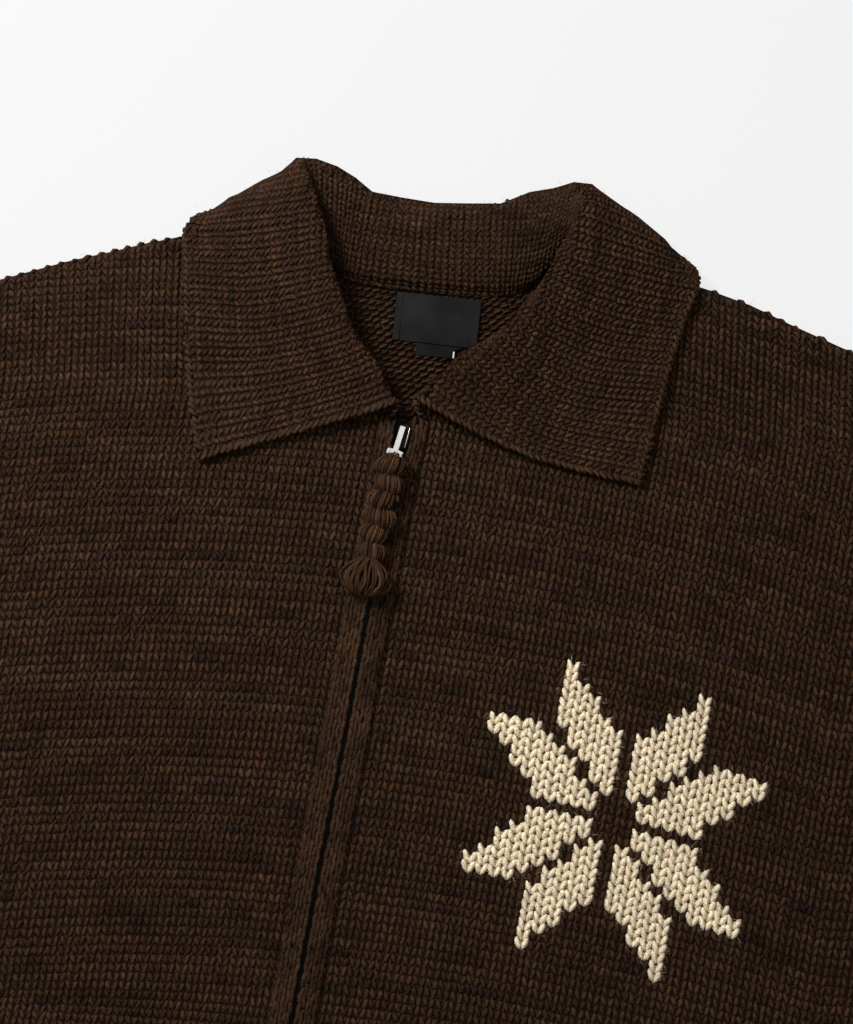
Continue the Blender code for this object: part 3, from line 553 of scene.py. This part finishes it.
# ---------------------------------------------------------------------------------------------
# The sleeves and cuffs: knitted from the cuff up and sewn to the armhole, so the wales run along
# the sleeve. They lie flat, folded under along both long edges.
ARMHOLES = {-1: ((-314, 260), (-326, 22)), 1: ((326, 260), (345, 25))}
CUFF_HALF, CUFF_DEPTH = 53, 65.0
# Each row: the distance from the armhole, the bend in degrees and half the width.
SLEEVE = np.array([(0, 14, 119), (55, 20, 112), (120, 27, 104), (190, 33, 96), (260, 38, 89), (330, 42, 82),
                   (400, 45, 75), (475, 47, 66)], float)
SLEEVE_LENGTH = SLEEVE[-1, 0]
SLEEVE_COURSES = int(SLEEVE_LENGTH / 6.0)
SLEEVE_WALES = np.arange(-15, 16)


def sleeve_middle(sign, along):
    """The sleeve's middle line, and its ways across and down, at distances from the armhole."""
    top, low = (np.array(p, float) for p in ARMHOLES[sign])
    marks = np.arange(0.0, SLEEVE_LENGTH + 1)
    bend = np.radians(np.interp(marks, SLEEVE[:, 0], SLEEVE[:, 1]))
    heading = np.column_stack([sign * np.cos(bend), -np.sin(bend)])
    steps = 0.5 * (heading[1:] + heading[:-1])
    line = (top + low) / 2 + np.concatenate([[(0, 0)], np.cumsum(steps, axis=0)])
    square = np.column_stack([sign * np.sin(bend), np.cos(bend)])
    turn = step(marks / 90.0)[:, None]
    up = unit(unit(top - low) * (1 - turn) + square * turn)
    return [np.column_stack([np.interp(along, marks, rows[:, k]) for k in (0, 1)])
            for rows in (line, up, heading)]


for side, sign in (("right", -1), ("left", 1)):
    shell = ground_shell("sleeve_" + side + "_cloth", "sleeve_" + side)
    cuff_shell = ground_shell("cuff_" + side + "_cloth", "cuff_" + side)
    along = (np.arange(SLEEVE_COURSES) + 0.5) * SLEEVE_LENGTH / SLEEVE_COURSES
    middle, up_across, heading = sleeve_middle(sign, along)
    half = np.interp(along, SLEEVE[:, 0], SLEEVE[:, 2])
    offset = SLEEVE_WALES * WALE * 0.97
    spot = (middle[:, None] + up_across[:, None] * offset[:, None]).reshape(-1, 2)
    place, up, kept = Ground("sleeve_" + side).lay(spot[:, 0], spot[:, 1])
    kept &= (np.abs(offset) < half[:, None] - 1.5).ravel()
    across, down = (flat_up(np.repeat(ways, len(offset), axis=0)[kept], up[kept])
                    for ways in (up_across * sign, heading))
    rows = np.repeat(np.arange(SLEEVE_COURSES), len(offset))[kept] + 500
    columns = np.tile(SLEEVE_WALES, SLEEVE_COURSES)[kept]
    count = kept.sum()
    stitches = knit(f"sleeve_{side}_knit", place[kept], across, down, up[kept], np.full(count, WALE),
                    np.full(count, SLEEVE_LENGTH / SLEEVE_COURSES), melange(rows, columns))
    middle, up_across, heading = (rows[0] for rows in sleeve_middle(sign, np.array([SLEEVE_LENGTH])))
    ribs = rib_band("cuff_" + side + "_ribs", "cuff_" + side, middle - up_across * CUFF_HALF,
                    middle + up_across * CUFF_HALF, heading, CUFF_DEPTH, 700)

# ---------------------------------------------------------------------------------------------
# The collar: one knitted piece, cast on at the neck and worked outwards, so its wales run over
# the roll and down the fall. The edge is bound off in larger loops. Sections go round the neck.
STAND_LEAN = 50
COLLAR_WALE, COLLAR_COURSES = 8.7, 35
CLOTH = 4.5
BETWEEN = 0.35                  # the space left between two layers of cloth
SEAM_HIGH, SEAM_LOW = 10.5 + 3 * BETWEEN, 9.3 + 3 * BETWEEN     # over a front, and over the back
# Each section: whether it is over a front, the seam's x and y, the roll's x, y and z, how far the
# cloth has turned over there in degrees, the fall's middle x, y and z, and the edge's x, y and z.
COLLAR = np.array([
    (1, -8.5, 208.0, -12.0, 215.0, 22.0, 5, -72.0, 192.0, 14.0, -131.0, 170.0, 12.4),
    (1, -25.0, 225.0, -24.0, 235.0, 26.5, 5, -82.0, 213.0, 14.6, -138.0, 199.0, 12.4),
    (1, -39.0, 240.0, -38.0, 253.0, 31.0, 5, -92.0, 236.0, 16.0, -143.5, 230.0, 12.6),
    (1, -53.5, 259.0, -51.0, 276.0, 35.0, 5, -100.0, 262.0, 19.5, -147.0, 260.0, 14.6),
    (1, -67.0, 285.0, -61.0, 304.0, 39.0, 8, -107.0, 294.0, 25.0, -150.0, 292.0, 17.8),
    (1, -76.5, 305.0, -69.0, 332.0, 41.0, 6, -113.0, 323.0, 30.0, -151.5, 319.0, 13.0),
    (1, -82.0, 318.0, -76.0, 350.0, 42.0, 14, -119.0, 341.0, 20.0, -134.0, 332.0, 5.0),
    (1, -72.0, 325.0, -80.0, 366.0, 34.0, 50, -96.0, 352.0, 9.0, -103.0, 333.0, 2.4),
    (0, -55.0, 302.0, -58.0, 363.5, 23.0, 82, -66.0, 342.0, 3.2, -71.0, 316.0, 2.4),
    (0, -38.0, 294.5, -32.0, 353.0, 14.0, 90, -34.0, 324.0, 2.6, -36.0, 292.0, 2.4),
    (0, 8.0, 292.6, 7.0, 346.5, 12.0, 90, 7.0, 316.0, 2.5, 7.0, 283.0, 2.4),
    (0, 52.0, 293.5, 50.0, 353.0, 14.0, 90, 50.0, 324.0, 2.6, 50.0, 292.0, 2.4),
    (0, 74.0, 301.0, 84.0, 362.5, 22.0, 82, 88.0, 342.0, 3.2, 91.0, 316.0, 2.4),
    (1, 90.0, 322.0, 103.0, 364.5, 34.0, 55, 124.0, 352.0, 9.0, 128.0, 333.0, 2.4),
    (1, 100.0, 316.0, 104.0, 350.0, 40.0, 22, 152.0, 337.0, 20.0, 164.0, 327.0, 5.0),
    (1, 91.0, 297.0, 98.0, 326.0, 38.5, 12, 141.0, 319.0, 28.0, 181.0, 313.0, 13.0),
    (1, 80.0, 276.0, 86.0, 302.0, 36.0, 10, 131.0, 290.0, 24.0, 174.0, 286.0, 17.6),
    (1, 65.0, 259.5, 70.0, 279.0, 33.0, 8, 118.0, 261.0, 19.0, 168.0, 258.0, 14.6),
    (1, 46.5, 243.0, 50.0, 259.0, 29.5, 8, 105.0, 234.0, 15.6, 163.5, 231.0, 12.6),
    (1, 28.0, 228.0, 29.0, 242.0, 26.0, 8, 92.0, 211.0, 14.4, 158.5, 203.0, 12.4),
    (1, 8.5, 210.0, 10.0, 219.0, 22.0, 5, 80.0, 190.0, 14.0, 153.5, 177.0, 12.4)])
fronts_ground = Ground("front_left", "front_right")
body_ground = Ground("front_left", "front_right", "back_panel")


def run_along(points):
    """How far each point of a line is along it."""
    return np.concatenate([[0], np.cumsum(np.linalg.norm(np.diff(points, axis=0), axis=1))])


def read_at(marks, run, points):
    return np.column_stack([np.interp(marks, run, points[:, k]) for k in range(points.shape[1])])


def curve_rows(table, places):
    """A table's rows read smoothly at places counted from 0 for the first row."""
    padded = np.vstack([2 * table[0] - table[1], table, 2 * table[-1] - table[-2]])
    k = np.clip(places.astype(int), 0, len(table) - 2)
    u = (places - k)[:, None]
    before, start, end, after = padded[k], padded[k + 1], padded[k + 2], padded[k + 3]
    return 0.5 * (2 * start + (end - before) * u + (2 * before - 5 * start + 4 * end - after) * u ** 2
                  + (3 * start - before - 3 * end + after) * u ** 3)


def collar_grid(places):
    """The collar's middle surface at some places round the neck, from the seam to the edge."""
    either_side = np.clip(np.concatenate([places - 0.25, places + 0.25]), 0, len(COLLAR) - 1)
    before, after = np.split(curve_rows(COLLAR[:, 3:5], either_side), 2)
    heading = unit(after - before)
    outward = np.column_stack([-heading[:, 1], heading[:, 0]])
    u = np.linspace(0, 1, 13)[:-1, None]
    lines = []
    for row, out in zip(curve_rows(COLLAR, places), outward):
        crest, mid, edge = row[3:6], row[7:10], row[10:13]
        share = np.clip(row[0], 0, 1)
        seam = np.array([row[1], row[2], share * SEAM_HIGH + (1 - share) * SEAM_LOW])
        over = math.radians(row[6])
        turn = np.array([*(out * math.cos(over)), -math.sin(over)])
        lean = math.radians(STAND_LEAN) * max(0.0, 1 - row[6] / 30)
        first = np.array([*(-out * math.sin(lean)), math.cos(lean)]) * min(np.linalg.norm(crest - seam), 40)
        second = turn * (10 + 12 * math.cos(over))
        third = (edge - crest) * 0.5
        last = (edge - mid) * np.array([0.9, 0.9, 0.4])
        path = [(2 * u ** 3 - 3 * u ** 2 + 1) * start + (u ** 3 - 2 * u ** 2 + u) * go
                + (3 * u ** 2 - 2 * u ** 3) * end + (u ** 3 - u ** 2) * come
                for start, end, go, come in ((seam, crest, first, second * 1.6), (crest, mid, second, third),
                                             (mid, edge, third, last))]
        line = np.vstack(path + [edge[None]])
        run = run_along(line)
        lines.append(read_at(np.linspace(0, run[-1], COLLAR_COURSES + 1), run, line))
    grid = np.array(lines)
    fall = grid[:, (COLLAR_COURSES + 1) // 3:]
    carried = fronts_ground.height(fall[..., 0].ravel(), fall[..., 1].ravel()).reshape(fall.shape[:2])
    carried += CLOTH / 2 + 4 * BETWEEN
    lies = (fall[..., 2] > 9.5) & ~np.isnan(carried)
    fall[lies, 2] = np.maximum(fall[lies, 2], carried[lies])
    return grid


shell = ground_shell("collar_cloth", "collar", 1.2)
stations = np.linspace(0, len(COLLAR) - 1, 401)
coarse = curve_rows(COLLAR, stations)
run = run_along(0.5 * (coarse[:, 3:6] + coarse[:, 7:10]))
wales = int(run[-1] / COLLAR_WALE)
grid = collar_grid(np.interp((np.arange(wales) + 0.5) / wales * run[-1], run, stations))
round_neck, outward = np.gradient(grid, axis=0), np.gradient(grid, axis=1)
facing = unit(np.cross(round_neck, outward))
facing *= np.sign(facing[5, -3, 2])
wide, tall = (np.linalg.norm(ways, axis=2).ravel() for ways in (round_neck, outward))
ways_out = facing.reshape(-1, 3)
place = Ground("collar").snap((grid + facing * (CLOTH / 2)).reshape(-1, 3), ways_out)
sunk = place - ways_out * 0.8 * (1 - step((ways_out[:, 2:] - 0.05) / 0.5))
seen = ~(body_ground.height(sunk[:, 0], sunk[:, 1]) > sunk[:, 2] + 0.8) & (wide < 15) & (tall < 8)
row = np.tile(np.arange(COLLAR_COURSES + 1), wales)
column = np.repeat(np.arange(wales), COLLAR_COURSES + 1)
# The stand's first twelve courses, under the roll, are darkened a little: painted shade.
tints = melange(row + 900, column) * np.where(row < 12, 0.88, 1.0)[:, None]
collar_stitches = knit("collar_knit", sunk[seen], unit(round_neck).reshape(-1, 3)[seen],
                       -unit(outward).reshape(-1, 3)[seen], ways_out[seen], wide[seen], tall[seen],
                       tints[seen])


def edge_chain(name, edge, inward, out_of, pitch=4.4):
    """Larger loops bound along an edge: edge is its line, inward and out_of the cloth's directions."""
    run = run_along(edge)
    marks = np.arange(pitch / 2, run[-1], pitch)
    spot, inward, out_of = (read_at(marks, run, rows) for rows in (edge, inward, out_of))
    ways = np.stack([unit(np.gradient(spot, axis=0)), unit(inward), unit(out_of)], axis=1)
    loop = np.array(((-0.55, 3.0, -1.6), (-0.35, 1.9, -0.2), (0.0, 0.7, 0.3), (0.3, 0.0, -0.3),
                     (0.5, -0.3, -1.6))) * (pitch, 1.0, 1.0)
    wander = rng.normal(0, 0.22, (len(spot), 1, 3))
    lines = spot[:, None] + loop @ ways + wander
    shown = ~(body_ground.height(spot[:, 0], spot[:, 1]) > spot[:, 2] + 0.8)
    radius = np.tile(np.array((0.78, 1.3, 1.3, 1.3, 0.78)), (shown.sum(), 1))
    tints = YARN * (1.1 + 0.16 * rng.standard_normal((shown.sum(), 1)))
    return strands(name, lines[shown], radius, tints)


inward = -unit(outward[:, -1])
collar_edges = [edge_chain("collar_edge_outer", place.reshape(grid.shape)[:, -1], inward, facing[:, -1])]
ends_grid = collar_grid(np.array([0.0, 0.3, 19.7, 20.0]))
for name, edge, inner in (("collar_end_right", 0, 1), ("collar_end_left", 3, 2)):
    line, toward = ends_grid[edge], unit(ends_grid[inner] - ends_grid[edge])
    out_of = unit(np.cross(toward, unit(np.gradient(line, axis=0))))
    out_of *= np.sign(out_of[:, 2:])
    collar_edges.append(edge_chain(name, line + out_of * (CLOTH / 2 - 0.3), toward, out_of))

# The neck seam, and the cut ends of its yarn where it turns under the wearer's left front.
NECK_MIDDLE = (8, 255)
seam_line = collar_grid(np.linspace(0, 20, 161))[:, :3]
seam_in = unit(seam_line[:, 2] - seam_line[:, 0])
seam_out = unit(np.cross(seam_in, np.gradient(seam_line[:, 0], axis=0)))
outwards = (seam_out[:, :2] * (seam_line[:, 0, :2] - NECK_MIDDLE)).sum(axis=1, keepdims=True) > 0
seam_out = np.where(outwards, -seam_out, seam_out)
collar_edges.append(edge_chain("neck_seam", seam_line[:, 0] + seam_out * 1.2 - (0, 0, 1.2), seam_in,
                               seam_out, 4.6))
t = np.linspace(0, 1, 8)[:, None]
allowance = np.array([np.column_stack([(70, 296) + t * (24, 26) + k * 2.3 * np.array((0.73, -0.68)),
                                       np.full(8, 4.6 + 0.25 * k)]) for k in range(-4, 4)])
collar_edges.append(strands("neck_seam_allowance", allowance, np.full((8, 8), 1.7),
                            np.tile(YARN * 0.8, (8, 1))))

# ---------------------------------------------------------------------------------------------
# The back: seen only inside the neck, where the wrong side shows its purl bumps in rows. It lies
# under both fronts and is sewn to them at the sides and shoulders.
PURL_WALE, PURL_COURSE = 5.2, 4.2
PURL = loop_of(strand((-3.22, 0.5, -1.4, 0.26, 0.5), (-1.46, -0.1, 0.0, 0.88, 1.1),
                      (1.46, -0.2, 0.0, 0.97, 1.1), (3.22, -0.6, -1.4, 0.33, 0.5)),
               wale=PURL_WALE, course=PURL_COURSE)
PURL_SLOPE = math.radians(20)
PURL_MIDDLE = np.array((12.0, 260.0))

shell = ground_shell("back_cloth", "back_panel")
rows, columns = np.meshgrid(np.arange(-40, 40), np.arange(-30, 30), indexing="ij")
rows, columns = rows.ravel(), columns.ravel()
across = np.array((math.cos(PURL_SLOPE), math.sin(PURL_SLOPE)))
down = np.array((math.sin(PURL_SLOPE), -math.cos(PURL_SLOPE)))
spot = PURL_MIDDLE + columns[:, None] * PURL_WALE * across \
    + (rows + 0.5 * (columns % 2))[:, None] * PURL_COURSE * down
near_neck = (spot[:, 1] < 300) & (spot[:, 1] > 200) & (np.abs(spot[:, 0] - PURL_MIDDLE[0]) < 100)
spot, rows, columns = spot[near_neck], rows[near_neck], columns[near_neck]
place, up, kept = Ground("back_panel").lay(spot[:, 0], spot[:, 1])
kept &= np.isnan(fronts_ground.height(spot[:, 0], spot[:, 1]))
count = kept.sum()
across, down = (flat_up(np.tile(way, (count, 1)), up[kept]) for way in (across, down))
purl = knit("back_purl_side", place[kept], across, down, up[kept], np.full(count, PURL_WALE),
            np.full(count, PURL_COURSE), melange(rows, columns)[kept], PURL)

# ---------------------------------------------------------------------------------------------
# The zip: narrow woven tapes sewn under the fronts, and two rows of small dark moulded teeth
# that show as a fine dotted line between the bands.
def same_form(name, node_name, finish, body="jacket", inset=0.0):
    """A piece with a solid's own form and a new finish, let in a little where strands cover it."""
    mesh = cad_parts[node_name].data.copy()
    for vertex, normal in zip(mesh.vertices, [v.normal.copy() for v in mesh.vertices]):
        vertex.co -= normal * inset * MM
    return fitted(name, mesh, finish, body, node_name)


def woven(name, colour, threads, deep, sheen_and_shade_cloud=0.0):
    """A close plain weave: fine threads both ways, its tone drifting in soft clouds over the piece as
    painted sheen and fold shade.
    """
    cloth = Finish(name)
    warp, weft = (cloth.node("ShaderNodeTexWave", {"bands_direction": way},
                             {"Vector": cloth.place, "Scale": threads}, "Fac") for way in "XY")
    lint = cloth.speckle(700.0)
    tone = 0.7 + lint * 0.5 + warp * weft * 0.2 + (cloth.speckle(42.0, 1.0) - 0.5) * (4 * sheen_and_shade_cloud)
    return cloth.feed(
        Base_Color=cloth.node("ShaderNodeVectorMath", {"operation": "SCALE"}, {0: colour, "Scale": tone}),
        Roughness=0.5, Specular_IOR_Level=0.10, Normal=cloth.relief(warp * weft + lint * 0.4, deep, 0.5))


tape_cloth = woven("zip_tape_cloth", (0.005, 0.0045, 0.004), 320.0, 0.0002)
for side in ("left", "right"):
    tape = same_form("tape_" + side, "zip_tape_" + side, tape_cloth)

moulded = Finish("moulded_teeth")
moulded_teeth = moulded.feed(
    Base_Color=moulded.tones(moulded.speckle(420.0), (0.3, (0.005, 0.0048, 0.0038)),
                             (0.8, (0.019, 0.017, 0.013))), Roughness=0.5, Specular_IOR_Level=0.2)
TOOTH_PITCH, TOOTH_HEIGHT = 2.4, 6.5
TOOTH_HALF = (1.05, 0.42, 2.0)
BOX_CORNERS = np.array([(x, y, z) for z in (0, 1) for y in (-1, 1) for x in (-1, 1)], float)
BOX_FACES = np.array([(0, 2, 3, 1), (4, 5, 7, 6), (0, 1, 5, 4), (2, 6, 7, 3), (0, 4, 6, 2), (1, 3, 7, 5)])
stations = np.arange(-329, 184, TOOTH_PITCH / 2)
swing = np.where(np.arange(len(stations)) % 2, 0.6, -0.6)
middle = np.column_stack([zip_x(stations) + swing, stations, np.full(len(stations), TOOTH_HEIGHT)])
tooth = BOX_CORNERS * TOOTH_HALF
tooth[4:, :2] *= 0.8
teeth = piece_of("teeth", middle[:, None] + tooth, BOX_FACES, moulded_teeth,
                 stands_for="zip_teeth")
teeth.data.shade_flat()

# ---------------------------------------------------------------------------------------------
# The slider and its tab: cast metal, the tab and the slider's rail brightly plated, the slider's body near
# black, darker metal with painted shade in it. The tab is a flat bar with a crosspiece, hinged at the
# slider's top, and the wool pull is knotted round it.
def bevelled(piece, width):
    """Rounds a cast piece's edges."""
    soft = piece.modifiers.new("edges", "BEVEL")
    soft.width, soft.segments, soft.limit_method = width, 2, "ANGLE"


plated = Finish("bright_plating")
scuff = plated.speckle(900.0, 3.0)
bright_plating = plated.feed(
    Base_Color=plated.tones(scuff, (0.2, (0.62, 0.62, 0.60)), (0.8, (0.88, 0.88, 0.86))), Metallic=0.9,
    Roughness=0.22 + scuff * 0.15)
# The slider's body: near black and unpolished, partly its own darker metal and partly painted shade.
dull = Finish("dark_plating_and_shade")
dark_plating_and_shade = dull.feed(Base_Color=(0.012, 0.010, 0.009, 1), Specular_IOR_Level=0.15,
                         Roughness=0.6 + dull.speckle(500.0) * 0.2)
bevelled(same_form("slider", "zip_slider", dark_plating_and_shade, inset=0.7), 0.6 * MM)
RAIL = np.array(((3.0, 201.4, 14.9), (2.5, 198.0, 15.3), (1.7, 193.5, 15.3), (0.8, 188.4, 14.6)))
strands("slider_rail", RAIL[None], np.array([(0.3, 0.38, 0.38, 0.3)]), YARN[None], 6, finish=bright_plating,
        slot="metal")
bevelled(same_form("tab", "pull_tab", bright_plating, "pull"), 0.3 * MM)

# ---------------------------------------------------------------------------------------------
# The pull: three bundles of the same wool plaited into six lobes and ended in a round knot.
# Each lobe shows about a dozen strands, gathered tight where the next bundle crosses it.
PULL_START = np.array((-5.2, 181.8))
PULL_TURN = math.radians(9.0)
PULL_DOWN = np.array((-math.sin(PULL_TURN), -math.cos(PULL_TURN)))
PULL_ASIDE = np.array((math.cos(PULL_TURN), -math.sin(PULL_TURN)))
PULL_FLOOR = CLOTH * 2 + 3 * BETWEEN + 1.5
PULL_STRAND = 1.15
LOBES, LOBE_PITCH, LOBE_HALF, LOBE_STRANDS = 6, 11.4, 9.6, 12
BALL_WIDE, BALL_DEEP, BALL_TALL, BALL_STRANDS = 14.5, 12.5, 9.5, 24

# The cores of the braid and the knot show only in the gaps between strands; their near-black wool is painted
# shade there.
inside = Finish("pull_core_shade")
wool_inside = inside.feed(
    Base_Color=inside.tones(inside.speckle(600.0, 3.0), (0.2, (0.006, 0.0035, 0.002)),
                            (0.9, (0.022, 0.012, 0.0075))), Roughness=0.95, Specular_IOR_Level=0.02)


def on_pull(along, across, lift):
    """Points on the pull, in mm, from its own lengthwise and sideways places and the height."""
    return np.column_stack([PULL_START + along[:, None] * PULL_DOWN + across[:, None] * PULL_ASIDE, lift])


lines, radii, tints = [], [], []
for lobe in range(LOBES):
    way = 1 if lobe % 2 else -1
    half = LOBE_HALF * (1.10 - 0.10 * lobe / LOBES)
    tall = 0.72 * LOBE_HALF * (1.06 - 0.12 * lobe / LOBES)
    for u in np.linspace(-0.97, 0.97, LOBE_STRANDS):
        t = np.linspace(-0.10, 1.14, 8)
        swell = np.sin(np.pi * np.clip(t, 0, 1)) ** 0.6
        gather = 0.52 + 0.48 * swell
        across = half * (0.94 * u * gather + way * 0.26 * (t - 0.5)) + way * 1.1 + rng.normal(0, 0.4)
        along = (lobe + t + 0.16 * (1 - u * u) * (2 * t - 0.7)) * LOBE_PITCH + rng.normal(0, 0.3)
        crown = np.sqrt(np.clip(1 - u * u, 0.04, 1))
        lift = PULL_FLOOR + 3.2 * step((16 - along) / 16) + tall * (1 + crown * (0.05 + 0.93 * swell))
        lines.append(on_pull(along, across, lift - 0.2 + rng.normal(0, 0.35)))
        radii.append(PULL_STRAND * (0.40 + 0.55 * swell) * rng.uniform(0.7, 1.1))
        tints.append(YARN * (1.06 + 0.30 * rng.standard_normal()) * (1.06, 1.0, 0.90))
strands("braid_strands", np.array(lines), np.array(radii), np.array(tints), 6, "pull")
same_form("braid_core", "pull_braid", wool_inside, "pull", 1.0)

lines, radii, tints = [], [], []
for u in np.linspace(-1, 1, BALL_STRANDS):
    t = np.linspace(0.0, 1.0, 10)
    fan = (np.sin(np.pi * t ** 1.35) ** 0.6 * 0.78 + 0.22 * (1 - t)) / 0.87
    side_turn = u * math.pi * 0.53
    wave = rng.normal(0, 1.3) * np.sin(np.pi * 2 * t * rng.uniform(0.6, 1.3) + rng.uniform(0, 6))
    across = BALL_WIDE * 0.98 * fan * math.sin(side_turn) + rng.normal(0, 0.35) + wave * fan
    along = (LOBES * LOBE_PITCH - 1.5
             + (2 * BALL_DEEP + 1.0) * (t + 0.05 * rng.standard_normal() * np.sin(np.pi * t)))
    lift = PULL_FLOOR + BALL_TALL + BALL_TALL * 0.93 * fan * math.cos(side_turn) + rng.normal(0, 0.5)
    lines.append(on_pull(along, across, lift))
    radii.append(PULL_STRAND * (0.45 + 0.6 * fan) * rng.uniform(0.75, 1.05))
    tints.append(YARN * (1.04 + 0.20 * rng.standard_normal()) * (1.10, 1.0, 0.86))
strands("ball_strands", np.array(lines), np.array(radii), np.array(tints), 6, "pull")
same_form("ball_core", "pull_ball", wool_inside, "pull", 1.8)

# ---------------------------------------------------------------------------------------------
# The labels: a folded black satin label sewn inside the back of the neck, and a small size tab caught under
# its lower edge. Both are plain; the pale strip across one end of the tab is a painted highlight on its
# fold.
LABEL_TURN = math.radians(-1.8)
LABEL_ALONG = np.array((math.cos(LABEL_TURN), math.sin(LABEL_TURN)))
LABEL_UP = np.array((-math.sin(LABEL_TURN), math.cos(LABEL_TURN)))
LABEL_CENTRE, TAB_CENTRE = np.array((14.6, 272.8)), np.array((15.4, 253.0))
FOLD_OUT, FOLD_SIZE = 25.4, (4.0, 31.0)
HIGHLIGHT_STRIP_SIZE = (0.9, 6.4)

# On the satin the clouds of tone are strong: painted sheen and fold shade.
satin = woven("black_satin", (0.0068, 0.0068, 0.0070), 260.0, 0.0001, 0.8)
highlight_paint = woven("highlight_paint", (0.75, 0.75, 0.74), 300.0, 0.0001)
label = same_form("neck_label", "main_label", satin)
size_tab = same_form("blank_tab", "size_tab", satin)
label_ground = Ground("main_label", "size_tab")


def label_strip(name, middle, size, lift, finish):
    """A thin raised strip on a label, square to the label."""
    level = label_ground.height(middle[:1], middle[1:])[0]
    points = [(*(middle + i * size[0] / 2 * LABEL_ALONG + j * size[1] / 2 * LABEL_UP),
               level + (lift if high else -0.3)) for i, j, high in BOX_CORNERS]
    strip = piece_of(name, np.array([points]), BOX_FACES, finish)
    strip.data.shade_flat()
    return strip


folds = [label_strip("label_fold_" + end, LABEL_CENTRE + way * FOLD_OUT * LABEL_ALONG, FOLD_SIZE, 0.35,
                     satin) for end, way in (("a", -1), ("b", 1))]
# The pale strip at the tab's end is a painted highlight on its fold.
highlight_strip = label_strip("tab_highlight_strip", TAB_CENTRE + 12.0 * LABEL_ALONG - 0.3 * LABEL_UP, HIGHLIGHT_STRIP_SIZE, 0.15,
                       highlight_paint)

# ---------------------------------------------------------------------------------------------
# Loose fibre: fine hairs that stand out of the yarn all over, a little lighter than the wool, partly their
# own paler fibre and partly painted highlight where they catch the light. They are the ends that spinning
# left free, and each is a thin curved ribbon.
HAIR_LENGTH, HAIR_WIDTH = 3.4, 0.11
RIBBON_FACES = np.array([(0, 1, 3, 2), (2, 3, 5, 4)])


def fuzz(name, pieces, count, body="jacket", length=HAIR_LENGTH, base=YARN):
    """Hairs rooted on the upward side of some pieces."""
    roots, facing = [], []
    for piece in pieces:
        mesh = bpy.data.objects[piece].data
        co, normal = (np.empty(3 * len(mesh.vertices)) for _ in range(2))
        mesh.vertices.foreach_get("co", co)
        mesh.vertices.foreach_get("normal", normal)
        co, normal = co.reshape(-1, 3) / MM, normal.reshape(-1, 3)
        roots.append(co[normal[:, 2] > 0.3])
        facing.append(normal[normal[:, 2] > 0.3])
    roots, facing = np.concatenate(roots), np.concatenate(facing)
    pick = rng.integers(0, len(roots), count)
    facing = facing[pick]
    start = roots[pick] + rng.normal(0, 1.6, (count, 3)) * (1, 1, 0) + facing * 0.5
    lie = unit(rng.normal(0, 1, (count, 3)))
    lie = unit(lie - facing * (lie * facing).sum(axis=1, keepdims=True) * 0.75)
    curl = unit(rng.normal(0, 1, (count, 3)))
    reach = length * rng.uniform(0.5, 1.3, (count, 1))
    aside = unit(np.cross(lie, facing)) * HAIR_WIDTH / 2
    rise = facing * 0.55
    middle, tip = start + lie * reach * 0.5 + rise, start + lie * reach + curl * reach * 0.3 + rise * 0.6
    points = np.stack([start - aside, start + aside, middle - aside, middle + aside, tip - aside * 0.5,
                       tip + aside * 0.5], axis=1)
    # Most hairs are tinted lighter than their base: partly painted highlight.
    tints = base * rng.uniform(0.9, 2.1, (count, 1)) * (1.05, 1.0, 0.92)
    piece_of(name, points, RIBBON_FACES, brown_wool, tints, body)


front_stitches = [f"front_{side}_{part}" for side in ("left", "right") for part in ("upper", "lower")]
fuzz("fibre_on_fronts", front_stitches, 20000)
fuzz("fibre_on_star", ["front_left_star"], 2600, base=CREAM * 0.55)
fuzz("fibre_on_collar", ["collar_knit", "collar_edge_outer"], 3500)
fuzz("fibre_on_sleeves", ["sleeve_left_knit", "sleeve_right_knit"], 2500)
fuzz("fibre_on_pull", ["braid_strands", "ball_strands"], 900, "pull", 4.0)
